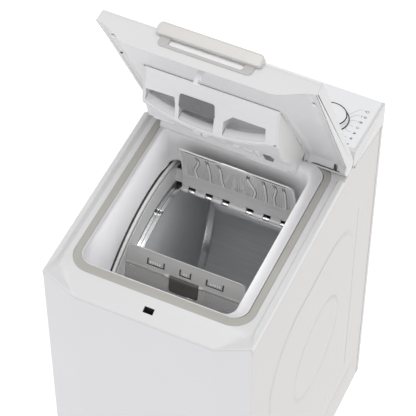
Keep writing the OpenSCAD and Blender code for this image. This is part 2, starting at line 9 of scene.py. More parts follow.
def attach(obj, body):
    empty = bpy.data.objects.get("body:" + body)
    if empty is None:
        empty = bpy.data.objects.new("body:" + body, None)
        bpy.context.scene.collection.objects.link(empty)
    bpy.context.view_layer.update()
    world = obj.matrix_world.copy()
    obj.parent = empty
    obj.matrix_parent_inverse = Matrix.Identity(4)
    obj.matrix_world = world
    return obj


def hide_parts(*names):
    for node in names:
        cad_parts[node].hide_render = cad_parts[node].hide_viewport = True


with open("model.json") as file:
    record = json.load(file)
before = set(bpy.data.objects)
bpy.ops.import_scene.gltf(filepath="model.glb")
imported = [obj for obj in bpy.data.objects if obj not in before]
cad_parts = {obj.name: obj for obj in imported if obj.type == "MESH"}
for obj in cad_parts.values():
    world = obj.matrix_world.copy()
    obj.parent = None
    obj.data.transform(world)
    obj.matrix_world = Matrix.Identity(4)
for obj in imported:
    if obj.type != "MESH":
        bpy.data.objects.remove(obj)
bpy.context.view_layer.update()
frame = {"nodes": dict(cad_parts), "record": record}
NODES = frame["nodes"]
MM = 0.001

# ---------- driving dimensions, in millimetres ----------

HALF_W = 200            # half of the cabinet's width
RIM_Z = 899             # top of the deck's rim
DECK_Z = 889            # deck inside its rim
DIP_Z = 871             # front edge of the deck in the middle
FRONT_Y = -317          # front face in the middle
CORNER_Y = -306         # front face at the corners
BOW_X = 135             # where the front face bends back
DECK_REAR = 145.5       # rear edge of the deck
PANEL_TOP = 881         # top of the side panels
AXIS_Y, AXIS_Z = 20, 485   # drum axis
DRUM_X = -8             # middle of the drum
DRUM_R = 240
DRUM_HALF = 135
HINGE_Y, HINGE_Z = 127, 907.5   # lid hinge
LOCK_Y = -294           # lid lock, under the latch hole
PLUG = (-190.6, -150)   # small dark plug in the lid's liner
PAD = (184, -240)       # rubber pads under the lid
LID_R = 17.5
LID_LOW, LID_TOP = 900, 925
LID_FRONT = -296
BAND_LEAN = 0.4
LID_OPEN = 64.8         # how far the lid stands open at rest
FRONT_HINGE_A, REAR_HINGE_A = -42.5, 19.3
FRONT_FLAP_OPEN, REAR_FLAP_OPEN = 58.5, -79.6
FACIA_Y, FACIA_Z, FACIA_FALL = 152, 925, 0.12
FACIA_ANGLE = math.atan(FACIA_FALL)


# ---------- materials ----------

def new_material(name):
    """A material with its node tree and its main shader."""
    mat = bpy.data.materials.new(name)
    mat.use_nodes = True
    tree = mat.node_tree
    return mat, tree, tree.nodes["Principled BSDF"]


def add(tree, kind, **values):
    """Adds a node; each value is one of its properties or inputs."""
    node = tree.nodes.new(kind)
    for key, value in values.items():
        if hasattr(node, key):
            setattr(node, key, value)
        else:
            node.inputs[key].default_value = value
    return node


def noise(tree, scale, detail=4.0, stretch=(1, 1, 1)):
    """Noise in object coordinates, so that it stays on the piece when it moves."""
    coords = add(tree, "ShaderNodeTexCoord")
    mapping = add(tree, "ShaderNodeMapping")
    mapping.inputs["Scale"].default_value = stretch
    tex = add(tree, "ShaderNodeTexNoise", Scale=scale, Detail=detail)
    tree.links.new(coords.outputs["Object"], mapping.inputs["Vector"])
    tree.links.new(mapping.outputs["Vector"], tex.inputs["Vector"])
    return tex.outputs["Fac"]


def ramp(tree, fac, low, high, at=(0.3, 0.7)):
    """Colour between two ends that follows a factor."""
    node = add(tree, "ShaderNodeValToRGB")
    node.color_ramp.elements[0].position = at[0]
    node.color_ramp.elements[1].position = at[1]
    node.color_ramp.elements[0].color = (*low, 1)
    node.color_ramp.elements[1].color = (*high, 1)
    tree.links.new(fac, node.inputs["Fac"])
    return node.outputs["Color"]


def between(tree, fac, low, high):
    """A factor of 0 to 1 brought to another range."""
    node = add(tree, "ShaderNodeMapRange")
    node.inputs["To Min"].default_value = low
    node.inputs["To Max"].default_value = high
    tree.links.new(fac, node.inputs["Value"])
    return node.outputs["Result"]


def bump(tree, shader, height, depth, strength=1.0):
    """Surface relief of the given depth in metres."""
    node = add(tree, "ShaderNodeBump", Strength=strength, Distance=depth)
    tree.links.new(height, node.inputs["Height"])
    tree.links.new(node.outputs["Normal"], shader.inputs["Normal"])
    return node


def moulded(name, color, rough, spread=0.03, grain=900.0, depth=0.00002, coat=0.0, specular=0.5):
    """Moulded plastic, rubber or paint: slightly uneven colour and gloss, and a fine surface grain."""
    mat, tree, shader = new_material(name)
    broad = noise(tree, 9.0, 3.0)
    dark = [c * (1 - spread) for c in color]
    light = [min(1.0, c * (1 + spread)) for c in color]
    tree.links.new(ramp(tree, broad, dark, light), shader.inputs["Base Color"])
    fine = noise(tree, grain, 3.0)
    tree.links.new(between(tree, fine, rough - 0.06, rough + 0.06), shader.inputs["Roughness"])
    shader.inputs["Coat Weight"].default_value = coat
    shader.inputs["Coat Roughness"].default_value = 0.12
    shader.inputs["Specular IOR Level"].default_value = specular
    bump(tree, shader, fine, depth)
    return mat


def metal(name, color, rough, stretch=(1, 1, 1), grain=160.0, depth=0.00003, spread=0.12,
          metallic=1.0):
    """Brushed or drawn metal: scratches stretched along one direction, and cloudy gloss."""
    mat, tree, shader = new_material(name)
    lines = noise(tree, grain, 6.0, stretch)
    cloud = noise(tree, 7.0, 3.0)
    dark = [c * (1 - spread) for c in color]
    light = [min(1.0, c * (1 + spread)) for c in color]
    tree.links.new(ramp(tree, lines, dark, light), shader.inputs["Base Color"])
    tree.links.new(between(tree, cloud, rough - 0.08, rough + 0.08), shader.inputs["Roughness"])
    shader.inputs["Metallic"].default_value = metallic
    bump(tree, shader, lines, depth, 0.5)
    return mat


# maker, then colour, roughness and the maker's other values
LOOKS = {
    "white_paint": (moulded, (0.76, 0.76, 0.77), 0.34, 0.008, 420.0, 0.000012, 0.25),
    "white_plastic": (moulded, (0.775, 0.775, 0.775), 0.36, 0.008, 1400.0, 0.00001, 0.1),
    "liner_plastic": (moulded, (0.86, 0.86, 0.868), 0.42, 0.008, 1400.0, 0.00001),
    "facia_white": (moulded, (0.965, 0.97, 0.975), 0.34, 0.004, 1500.0, 0.000008, 0.1),
    "seal_grey": (moulded, (0.48, 0.47, 0.435), 0.6, 0.03, 1200.0, 0.00002),
    "dark_rubber": (moulded, (0.025, 0.025, 0.026), 0.6, 0.1, 1000.0, 0.00003),
    "dark_plastic": (moulded, (0.05, 0.048, 0.045), 0.45, 0.08, 1300.0, 0.00002),
    "softener_grey": (moulded, (0.19, 0.185, 0.19), 0.4, 0.04, 1300.0, 0.00001),
    "handle_grey": (moulded, (0.70, 0.68, 0.655), 0.38, 0.02, 1600.0, 0.00001, 0.1),
    "tub_plastic": (moulded, (0.5, 0.5, 0.49), 0.55, 0.05, 500.0, 0.00004),
    "motor_metal": (moulded, (0.10, 0.12, 0.14), 0.45, 0.06, 400.0, 0.00004),
    "board_green": (moulded, (0.03, 0.16, 0.07), 0.4, 0.1, 600.0, 0.00002),
    "valve_plastic": (moulded, (0.10, 0.22, 0.5), 0.42, 0.05, 900.0, 0.00002),
    "ballast": (moulded, (0.25, 0.25, 0.24), 0.85, 0.2, 220.0, 0.0003),
    "galvanised": (metal, (0.56, 0.57, 0.58), 0.42, (1, 1, 1), 130.0, 0.00002, 0.09),
    "stainless": (metal, (0.40, 0.405, 0.415), 0.36, (0.04, 1, 1), 300.0, 0.00002, 0.08, 0.35),
    "bright_steel": (metal, (0.83, 0.83, 0.84), 0.16, (0.1, 1, 1), 300.0, 0.00001, 0.04),
    "spring_steel": (metal, (0.35, 0.35, 0.37), 0.35, (1, 1, 0.2), 260.0, 0.00002, 0.1),
    "flap_steel": (moulded, (0.52, 0.515, 0.515), 0.38, 0.05, 700.0, 0.00002, 0.0, 0.8),
    # a darker copy of the flap steel: painted shade on the front flap's sheet
    "flap_steel_dark": (moulded, (0.30, 0.295, 0.29), 0.36, 0.05, 700.0, 0.00002, 0.0, 0.8),
    # this copy of the liner plastic is darker: painted shade on the lid's inner panel and latch tongue
    "liner_shade": (moulded, (0.73, 0.725, 0.735), 0.45, 0.008, 1400.0, 0.00001),
    # a lighter copy of the flap steel: painted highlight on the rear flap's raised ribs, rim and catch
    "flap_rib": (moulded, (0.68, 0.675, 0.68), 0.36, 0.03, 700.0, 0.00002, 0.0, 0.8),
    "tub_neck": (moulded, (0.58, 0.58, 0.575), 0.45, 0.03, 600.0, 0.00002),
    "bezel_grey": (moulded, (0.56, 0.54, 0.53), 0.36, 0.02, 1600.0, 0.00001, 0.1),
    # a darker copy of the liner plastic: painted shade inside the tray's pockets
    "tray_shade": (moulded, (0.80, 0.80, 0.81), 0.45, 0.01, 1400.0, 0.00001),
    # a slightly darker, warmer copy of the liner plastic: painted shade on the tray's side walls
    "tray_side": (moulded, (0.82, 0.815, 0.80), 0.42, 0.01, 1400.0, 0.00001),
    "front_paint": (moulded, (0.735, 0.735, 0.75), 0.36, 0.006, 420.0, 0.000008, 0.2),
    # the same white paint as the front, darker and warmer: painted shade on the side panels
    "side_paint": (moulded, (0.675, 0.650, 0.637), 0.36, 0.006, 420.0, 0.000008, 0.2),
    "print_grey": (moulded, (0.14, 0.14, 0.15), 0.5, 0.02, 900.0, 0.000004),
    "screw_grey": (moulded, (0.45, 0.44, 0.44), 0.4, 0.03, 900.0, 0.000008),
    "alloy": (metal, (0.62, 0.62, 0.63), 0.4, (1, 1, 1), 120.0, 0.00003, 0.1),
}
MATS = {name: maker(name, *values) for name, (maker, *values) in LOOKS.items()}
SLOTS = {row["slot"] for row in frame["record"]["materials"]}
# slots of the record that the visual-only materials count under
SHARED_SLOTS = {
    "flap_rib": "flap_steel", "liner_shade": "liner_plastic", "tub_neck": "tub_plastic",
    "front_paint": "white_paint", "side_paint": "white_paint", "print_grey": "facia_white",
    "screw_grey": "white_plastic", "bezel_grey": "handle_grey", "tray_shade": "liner_plastic",
    "tray_side": "liner_plastic",
}
SLOT_OF = {row["node"]: row["material_slot"] for row in frame["record"]["subparts"]}
BODY_OF = {node: body for body, nodes in frame["record"]["behaviour"]["bodies"].items() for node in nodes}


def finish_cad(node, bevel=0.5):
    """Gives a CAD node its material and soft edges; its mesh stays as imported."""
    obj = NODES[node]
    obj.data.materials.clear()
    obj.data.materials.append(MATS[SLOT_OF[node]])
    weld = obj.modifiers.new("weld", "WELD")
    weld.merge_threshold = 0.00001
    if bevel:
        edges = obj.modifiers.new("edges", "BEVEL")
        edges.width = bevel * MM
        edges.segments = 2
        edges.limit_method = "ANGLE"
        edges.angle_limit = math.radians(38)
        edges.harden_normals = True


for name in NODES:
    finish_cad(name)

# ---------- building pieces from code ----------


def mesh_object(name, part, node, slot, angle):
    """One piece that stands for a CAD node, from points in millimetres; it rides that node's body."""
    verts, faces = part
    body = BODY_OF[node]
    if body in TURNS:
        verts = [TURNS[body](v) for v in verts]
    mesh = bpy.data.meshes.new(name)
    mesh.from_pydata([Vector(v) * MM for v in verts], [], faces)
    bm = bmesh.new()
    bm.from_mesh(mesh)
    bmesh.ops.remove_doubles(bm, verts=bm.verts, dist=0.000002)
    bmesh.ops.dissolve_degenerate(bm, edges=bm.edges, dist=0.000001)
    bmesh.ops.recalc_face_normals(bm, faces=bm.faces)
    bm.to_mesh(mesh)
    bm.free()
    mesh.materials.append(MATS[slot])
    for face in mesh.polygons:
        face.use_smooth = True
    mesh.set_sharp_from_angle(angle=math.radians(angle))
    obj = bpy.data.objects.new(name, mesh)
    bpy.context.scene.collection.objects.link(obj)
    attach(obj, body)
    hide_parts(node)
    slot if slot in SLOTS else SHARED_SLOTS.get(slot, "stainless")
    return obj


def thicken(obj, mm, offset=-1.0):
    """Gives a sheet a wall thickness."""
    mod = obj.modifiers.new("wall", "SOLIDIFY")
    mod.thickness = mm * MM
    mod.offset = offset
    return obj


def step(x):
    """Smooth step from 0 to 1 as x goes from 0 to 1."""
    x = max(0.0, min(1.0, x))
    return x * x * (3 - 2 * x)


def soft_min(a, b, k):
    """The smaller of two values, blended where they are within k."""
    h = max(0.0, min(1.0, 0.5 + 0.5 * (b - a) / k))
    return b + (a - b) * h - k * h * (1 - h)


def soft_max(a, b, k):
    return -soft_min(-a, -b, k)


def loft(rings, closed=True, skip=None):
    """Points and quads through rings of equal length."""
    count = len(rings[0])
    verts = [p for ring in rings for p in ring]
    faces = []
    for i in range(len(rings) - 1):
        for k in range(count if closed else count - 1):
            if skip and skip(i, k):
                continue
            n = (k + 1) % count
            faces.append((i * count + k, i * count + n, (i + 1) * count + n, (i + 1) * count + k))
    return verts, faces


def capped(rings):
    """A loft with a flat face over each end."""
    verts, faces = loft(rings)
    count = len(rings[0])
    faces += [tuple(range(count)), tuple(len(verts) - 1 - i for i in range(count))]
    return verts, faces


def topped(rings, closed=True):
    """A loft with a flat face over its last ring."""
    verts, faces = loft(rings, closed)
    faces.append(tuple(range(len(verts) - len(rings[0]), len(verts))))
    return verts, faces


def circle(cx, cy, r, n):
    """Points round a circle in two coordinates."""
    turns = [2 * math.pi * k / n for k in range(n)]
    return [(cx + r * math.cos(a), cy + r * math.sin(a)) for a in turns]


def merge(*parts):
    """Several parts as one list of points and faces."""
    verts, faces = [], []
    for v, f in parts:
        base = len(verts)
        verts += list(v)
        faces += [tuple(i + base for i in face) for face in f]
    return verts, faces


def round_ring(x0, x1, y0, y1, r, z=0.0, n=10):
    """Rounded rectangle, from its front left corner round the front."""
    points = []
    for cx, cy, start in ((x0 + r, y0 + r, 180), (x1 - r, y0 + r, 270),
                          (x1 - r, y1 - r, 0), (x0 + r, y1 - r, 90)):
        for i in range(n + 1):
            a = math.radians(start + 90 * i / n)
            points.append((cx + r * math.cos(a), cy + r * math.sin(a), z))
    return points


def rounded_path(points, radius, n=5):
    """Closed outline in two coordinates with every corner rounded; radius may be a list."""
    count = len(points)
    radii = radius if isinstance(radius, (list, tuple)) else [radius] * count
    out = []
    for i, point in enumerate(points):
        p = Vector(point)
        a = Vector(points[i - 1]) - p
        b = Vector(points[(i + 1) % count]) - p
        if a.length < 0.001:
            continue
        angle = a.angle(b, math.pi)
        r = radii[i]
        if r <= 0 or abs(angle - math.pi) < 0.02:
            out.append((p.x, p.y))
            continue
        reach = min(r / math.tan(angle / 2), a.length * 0.48, b.length * 0.48)
        start, end = p + a.normalized() * reach, p + b.normalized() * reach
        for k in range(n + 1):
            t = k / n
            q = start * (1 - t) ** 2 + p * 2 * t * (1 - t) + end * t ** 2
            out.append((q.x, q.y))
    return out


def prism(outline, x0, x1, edge=0.6, steps=3):
    """Outline in depth and height, extruded along the width, with rounded ends."""
    count = len(outline)
    norms = []
    for i in range(count):
        a, b = Vector(outline[i - 1]), Vector(outline[(i + 1) % count])
        t = (b - a).normalized()
        norms.append((t.y, -t.x))
    area = sum(outline[i - 1][0] * outline[i][1] - outline[i][0] * outline[i - 1][1] for i in range(count))
    sign = 1 if area > 0 else -1
    rings = []
    for end, inward in ((x0, 1), (x1, -1)):
        part = []
        for k in range(steps + 1):
            a = math.radians(90 * k / steps)
            inset = edge * (1 - math.sin(a))
            x = end + inward * edge * (1 - math.cos(a))
            part.append([(x, p[0] - sign * n[0] * inset, p[1] - sign * n[1] * inset)
                         for p, n in zip(outline, norms)])
        rings += part if inward > 0 else part[::-1]
    return capped(rings)


def drum_at(x, r, a):
    """Point at radius r and angle a from the top of the drum towards the rear."""
    a = math.radians(a)
    return (x, AXIS_Y + r * math.sin(a), AXIS_Z + r * math.cos(a))


def arc_sweep(profile, a0, a1, n=48, closed=True):
    """Sweeps (x, radius) points about the drum axis."""
    rings = [[drum_at(x, r, a0 + (a1 - a0) * i / n) for x, r in profile] for i in range(n + 1)]
    return capped(rings) if closed else loft(rings, False)


def turn_about(centre, degrees):
    """Turn about an axis along the width through (depth, height)."""
    c, s = math.cos(math.radians(degrees)), math.sin(math.radians(degrees))

    def turn(p):
        y, z = p[1] - centre[0], p[2] - centre[1]
        return (p[0], centre[0] + y * c - z * s, centre[1] + y * s + z * c)
    return turn


LID_TURN = turn_about((HINGE_Y, HINGE_Z), -LID_OPEN)
FRONT_FLAP_TURN = turn_about(drum_at(0, DRUM_R, FRONT_HINGE_A)[1:], FRONT_FLAP_OPEN)
REAR_FLAP_TURN = turn_about(drum_at(0, DRUM_R, REAR_HINGE_A)[1:], REAR_FLAP_OPEN)
TURNS = {"lid": LID_TURN, "dispenser": LID_TURN, "softener_cap": LID_TURN, "rear_flap": REAR_FLAP_TURN,
         "front_flap": FRONT_FLAP_TURN, "flap_button": FRONT_FLAP_TURN}

# ---------- deck, seal and loading funnel ----------

SEAL_OUT = (-175, 175, -272, 135, 42)
SEAL_IN = (-161, 161, -254, 121, 28)
LATCH_X, LATCH_Y = 9.5, (-300.5, -290)
RIM_STEP = 188


def deck_height(x, y):
    """Height of the moulded deck: sunk in the middle, sloping up to its rim and corners."""
    ax = abs(x)
    flat = soft_min(DECK_Z, DIP_Z + 0.4 * (y - FRONT_Y), 3)
    corner = RIM_Z + 0.4535 * (ax - HALF_W) - 0.1341 * (y - CORNER_Y)
    base = soft_max(flat, corner, 1.5)
    edge = RIM_STEP + max(0.0, -272 - y) * 12 / 34
    lift = step((ax - edge) / 6.5 + 0.5) * step((104 - y) / 5)
    return base + (RIM_Z - base) * lift


def deck_pairs():
    """(outer edge point, seal edge point, lower edge of the skirt) round the deck."""
    pairs = []
    x1, y0, y1, r = SEAL_OUT[1], SEAL_OUT[2], SEAL_OUT[3], SEAL_OUT[4]
    front_x = sorted({-133, -110, -80, -50, -25, -14, -LATCH_X, -4, 4, LATCH_X, 14, 25, 50, 80, 110, 133})

    def arc(cx, cy, a):
        return (cx + r * math.cos(math.radians(a)), cy + r * math.sin(math.radians(a)))

    for x in front_x:
        pairs.append(((x, FRONT_Y), (x, y0), DIP_Z - 1.6))
    for i in range(1, 15):
        t = i / 14
        x = BOW_X + (HALF_W - BOW_X) * t
        y = FRONT_Y + (CORNER_Y - FRONT_Y) * t
        pairs.append(((x, y), arc(133, -230, -90 + 38 * t), DIP_Z - 1.6 + 27 * t))
    for i in range(15):
        t = i / 14
        pairs.append(((HALF_W, CORNER_Y + 76 * t + (0.2 if i == 0 else 0)), arc(133, -230, -52 + 52 * t),
                      PANEL_TOP + 0.4))
    for i in range(1, 22):
        y = -230 + (93 + 230) * i / 21
        pairs.append(((HALF_W, y), (x1, y), PANEL_TOP + 0.4))
    for i in range(1, 15):
        t = i / 14
        pairs.append(((HALF_W, 93 + (DECK_REAR - 93) * t), arc(133, 93, 45 * t), PANEL_TOP + 0.4))
    for i in range(1, 9):
        t = i / 8
        pairs.append(((HALF_W - 67 * t, DECK_REAR), arc(133, 93, 45 + 45 * t), PANEL_TOP + 0.4))
    right = pairs[len(front_x):]
    rear = [((x, DECK_REAR), (x, y1), PANEL_TOP + 0.4) for x in (90, 45, 0, -45, -90)]
    left = [((-o[0], o[1]), (-i[0], i[1]), z) for o, i, z in reversed(right)]
    return pairs + rear + left, len(front_x)


def deck():
    """The deck from its outer edge to the seal, with the latch hole in its front."""
    pairs, fronts = deck_pairs()
    fillet = 2.6
    near = [4.0, 6.0, 8.0, 9.5, 10.6, 11.4, 12.2, 13.0, 13.8, 15.0]
    far = [0.05, 0.2, 0.4, 0.6, 0.8, 0.93, 0.985]
    rings = [[] for _ in range(2 + 6 + len(near) + len(far) + 3)]
    for (ox, oy), (ix, iy), low in pairs:
        total = math.hypot(ix - ox, iy - oy)
        ux, uy = (ix - ox) / total, (iy - oy) / total
        shrink = min(1.0, (total - 2) / 22)
        at = lambda d: (ox + ux * d, oy + uy * d)
        top = deck_height(ox, oy)
        column = [(ox, oy, low), (ox, oy, max(low + 0.5, top - fillet - 0.5))]
        for k in range(6):
            a = math.radians(90 * k / 5)
            x, y = at(fillet * (1 - math.cos(a)) * shrink)
            column.append((x, y, max(low + 0.6, deck_height(x, y) - fillet * (1 - math.sin(a)))))
        for d in near:
            x, y = at(d * shrink)
            column.append((x, y, deck_height(x, y)))
        start = near[-1] * shrink
        for f in far:
            x, y = at(start + (total - start) * f)
            column.append((x, y, deck_height(x, y)))
        column += [(ix, iy, DECK_Z - 0.35), (ix + ux * 0.35, iy + uy * 0.35, DECK_Z - 1.0),
                   (ix + ux * 0.35, iy + uy * 0.35, DECK_Z - 4)]
        for ring, point in zip(rings, column):
            ring.append(point)
    hole_row = 2 + 6 + len(near)

    def in_hole(i, k):
        return i in (hole_row, hole_row + 1) and k < fronts and abs(
            (pairs[k][0][0] + pairs[k + 1][0][0]) / 2) < LATCH_X

    verts, faces = loft(rings, skip=in_hole)
    y0, y1 = LATCH_Y
    mouth = [(-LATCH_X, y0), (LATCH_X, y0), (LATCH_X, y1), (-LATCH_X, y1)]
    shaft = loft([[(x, y, deck_height(x, y)) for x, y in mouth],
                  [(x * 0.97, y, deck_height(x, y) - 1) for x, y in mouth],
                  [(x * 0.97, y, 866.2) for x, y in mouth]])
    mesh_object("deck", (verts, faces), "top_deck", "white_plastic", 30)
    mesh_object("deck_latch_mouth", shaft, "top_deck", "dark_plastic", 30)


def seal():
    """Light grey band round the loading opening."""
    rings = []
    for t, z in ((0, 885), (0.0, 888.0), (0.04, 888.9), (0.12, 889.4), (0.3, 889.6), (0.7, 889.6),
                 (0.88, 889.4), (0.96, 888.9), (1.0, 888.0), (1.0, 885)):
        x0, x1, y0, y1, r = [a + (b - a) * t for a, b in zip(SEAL_OUT, SEAL_IN)]
        inset = 0.15 if t < 0.5 else -0.15
        rings.append(round_ring(x0 + inset, x1 - inset, y0 + inset, y1 - inset, r - inset, z, 14))
    rings.append(rings[0])
    mesh_object("seal_band", loft(rings), "deck_gasket", "seal_grey", 40)


SEAL_IN_Z = 886.5
WAIST_Z, BOTTOM_Z = 866, 630
FUNNEL_BOTTOM = (-158, 132, -206, 142, 14)
FUNNEL_WAIST = (-159, 133, -239, 118, 24)


def funnel_at(z):
    """Sides and corner radius of the funnel's inside at one height."""
    if z > WAIST_Z:
        t = (SEAL_IN_Z - z) / (SEAL_IN_Z - WAIST_Z)
        return [a + (b - a) * t for a, b in zip(SEAL_IN, FUNNEL_WAIST)]
    t = (WAIST_Z - z) / (WAIST_Z - BOTTOM_Z)
    return [a + (b - a) * t for a, b in zip(FUNNEL_WAIST, FUNNEL_BOTTOM)]


def funnel_smooth(z):
    """The same, with the two bends blended over a few millimetres."""
    rows = [funnel_at(min(SEAL_IN_Z, z + d)) for d in (-6, -4, -2, 0, 2, 4, 6)]
    return [sum(row[i] for row in rows) / len(rows) for i in range(5)]


def funnel():
    """The white funnel, ending where it meets the tub round the drum."""
    steps = [SEAL_IN_Z, 886.0, 884.5, 882, 879, 876, 873, 870, 867, 864, 860, 854, 846]
    rings = []
    for k, z in enumerate(steps):
        x0, x1, y0, y1, r = funnel_smooth(z)
        lip = 1.5 * (1 - step(k / 3))
        rings.append(round_ring(x0 - lip, x1 + lip, y0 - lip, y1 + lip, r + lip, z, 12))
    lower = []
    last = steps[-1]
    ring_low = round_ring(*FUNNEL_BOTTOM, 0, 12)
    ring_top = round_ring(*funnel_smooth(last), 0, 12)
    ends = []
    for low, top in zip(ring_low, ring_top):
        y = low[1]
        for _ in range(3):
            z = AXIS_Z + math.sqrt(292.6 ** 2 - (y - AXIS_Y) ** 2)
            t = (last - z) / (last - BOTTOM_Z)
            y = top[1] + (low[1] - top[1]) * t
        ends.append((top[0] + (low[0] - top[0]) * t, y, z))
    for f in (0.2, 0.4, 0.6, 0.75, 0.84, 0.88, 0.92, 0.96, 1.0):
        row = []
        for top, end in zip(ring_top, ends):
            ease = 1.3 * step((f - 0.82) / 0.1)
            cx, cy = (end[0] + 13) / 160, (end[1] + 50) / 180
            row.append((top[0] + (end[0] - top[0]) * f - ease * cx,
                        top[1] + (end[1] - top[1]) * f - ease * 0.4 * cy, last + (end[2] - last) * f))
        lower.append(row)
    obj = mesh_object("funnel", loft(rings + lower), "loading_funnel", "liner_plastic", 50)
    thicken(obj, 2.0, 1.0)


def bellows():
    """Black lip-shaped strip standing for the shadowed gap under the funnel, a light collar, a thin dark
    strip for the shade between collar and neck (both strips painted shadow) and the tub's light neck, on both
    sides.
    """
    for side, x_wall, x_in in (("left", -159.5, -142.6), ("right", 133.4, 126.4)):
        s = 1 if side == "left" else -1
        reach = 6.6 if s > 0 else 2.6
        lip = rounded_path([(x_wall - s * 2, 284), (x_wall - s * 2, 292.2), (x_wall + s * 2.4, 292.0),
                            (x_wall + s * reach, 288), (x_wall + s * reach, 284)], [0, 1, 1, 1, 0], 3)
        top = x_wall + s * (reach - 0.6)
        wide = 5.2 if s > 0 else 2.4
        far = top + s * wide
        collar = rounded_path([(top, 274), (top, 289.2), (far, 287), (far, 274)], 1.2, 4)
        edge = top + s * (wide - 0.2)
        groove_shade = [(edge, 272), (edge, 279.6), (edge + s * 1.6, 279.0), (edge + s * 1.6, 272)]
        neck = rounded_path([(edge + s * 1.4, 262), (edge + s * 1.4, 281.6), (edge + s * 2.6, 281.2),
                             (x_in, 243), (x_in - s * 1.4, 243)], [0, 0.8, 0.8, 0.3, 0], 3)
        # the black lip and the thin dark strip are painted shadow: of the gap under the funnel and of the
        # recess between collar and neck
        for name, profile, slot in (("lip", lip, "dark_rubber"), ("collar", collar, "tub_neck"),
                                    ("groove_shade", groove_shade, "dark_rubber"), ("neck", neck, "tub_neck")):
            mesh_object("bellows_" + name + "_" + side, arc_sweep(profile, -51.5, 25.0, 76),
                        "tub_bellows", slot, 50)
    # dark strip along the rear of the opening: painted shadow of the gap
    rear = [(-158, 272), (132, 272), (132, 276), (-158, 276)]
    mesh_object("bellows_rear_shadow", arc_sweep(rear, 21.6, 26.0, 8), "tub_bellows", "dark_rubber", 50)


deck()
seal()
funnel()
bellows()

# ---------- drum and its two flaps ----------

FLAP_X = (-126, 110)
LOOPS = (-96, -60, -25, 25, 60, 96)
KNUCKLES = ((-117, -103.5), (-88.5, -67.5), (-52.5, -32.5), (-17.5, 17.5), (32.5, 52.5),
            (67.5, 88.5), (103.5, 117))


def x_turned(profile, y, z, n=28):
    """Turned shape from (x, radius) points about an axis along the width."""
    return capped([[(x, cy, cz) for cy, cz in circle(y, z, r, n)] for x, r in profile])


def x_pin(x0, x1, r, y, z, edge=0.8):
    return x_turned([(x0, r - edge), (x0 + edge * 0.3, r - edge * 0.3), (x0 + edge, r),
                     (x1 - edge, r), (x1 - edge * 0.3, r - edge * 0.3), (x1, r - edge)], y, z)


def perforated(us, vs, hole, place):
    """Sheet over a grid; hole(u, v) gives the half sizes of an opening in that cell, or None."""
    verts, faces, index = [], [], {}

    def vert(u, v):
        key = (round(u, 4), round(v, 4))
        if key not in index:
            index[key] = len(verts)
            verts.append(place(u, v))
        return index[key]

    for i in range(len(us) - 1):
        for k in range(len(vs) - 1):
            u0, u1, v0, v1 = us[i], us[i + 1], vs[k], vs[k + 1]
            um, vm = (u0 + u1) / 2, (v0 + v1) / 2
            rim = [vert(u0, v0), vert(um, v0), vert(u1, v0), vert(u1, vm),
                   vert(u1, v1), vert(um, v1), vert(u0, v1), vert(u0, vm)]
            size = hole(um, vm)
            if size == "open":
                continue
            if size is None:
                mid = vert(um, vm)
                for a in range(0, 8, 2):
                    faces.append((rim[a], rim[a + 1], mid, rim[a - 1]))
                continue
            ring = []
            for a in range(8):
                t = math.radians(-135 + 45 * a)
                ring.append(len(verts))
                verts.append(place(um + size[0] * math.cos(t), vm + size[1] * math.sin(t)))
            for a in range(8):
                b = (a + 1) % 8
                faces.append((rim[a], rim[b], ring[b], ring[a]))
    return verts, faces


def spread(a, b, n):
    """n + 1 even steps from a to b."""
    return [a + (b - a) * i / n for i in range(n + 1)]


def flap_place(radius, hinge, sign, length, relief, corner=11.0):
    """Maps a flap's width and distance from its hinge on to the curve of the drum."""
    def place(u, v):
        edge = min(u - FLAP_X[0], FLAP_X[1] - u)
        tip = length
        if edge < corner:
            tip -= corner - math.sqrt(max(0.0, corner ** 2 - (corner - edge) ** 2))
        start = length - 24
        if v > start:
            v = start + (v - start) * (tip - start) / (length - start)
        r = radius + relief(u, v)
        return drum_at(u, r, hinge + sign * math.degrees(v / radius))
    return place


def ridge(x, centre, half):
    """Bell curve that is 1 at its centre."""
    return math.exp(-((x - centre) / half) ** 2)


REAR_RIBS = ((-92, 5, 0), (-68, 0, 2), (-47, 2, 9), (19, -5, 3), (47, 0, 2), (68, 3, 0), (88, 0, 1))
REAR_LENGTH = 148.0
RIB_TOP, RIB_FOOT = 127, 44
FAN = (-8, 132)
REAR_RADIUS = 241.2


def rib_at(rib, v):
    """Place across the flap of a wavy rib, at distance v from the hinge."""
    t = (RIB_TOP - v) / (RIB_TOP - RIB_FOOT)
    return rib[0] + rib[1] * math.sin(2 * math.pi * t) + rib[2] * t


def rear_relief(u, v):
    """Raised and sunk bands of the rear flap, in millimetres."""
    height = -1.3 * ridge(v, 131.5, 2.2) * step((102 - abs(u - DRUM_X)) / 5)
    height += 1.2 * ridge(v, 137, 2.0) * step((abs(u - DRUM_X) - 32) / 6)
    height += 0.9 * step((36 - v) / 4)
    return height


def rear_hole(u, v):
    """Slots in rows between the ribs, and a fan of round holes in the middle."""
    if not 46 < v < 126 or abs(u - DRUM_X) > 108:
        return None
    if any(abs(u - rib_at(rib, v)) < 4.6 for rib in REAR_RIBS):
        return None
    if -41 < u < 17:
        away = math.hypot(u - FAN[0], v - FAN[1])
        ray = math.degrees(math.atan2(u - FAN[0], FAN[1] - v)) / 15
        return (1.5, 1.5) if away > 12 and abs(ray - round(ray)) < 0.3 else None
    return (1.7, 1.2)


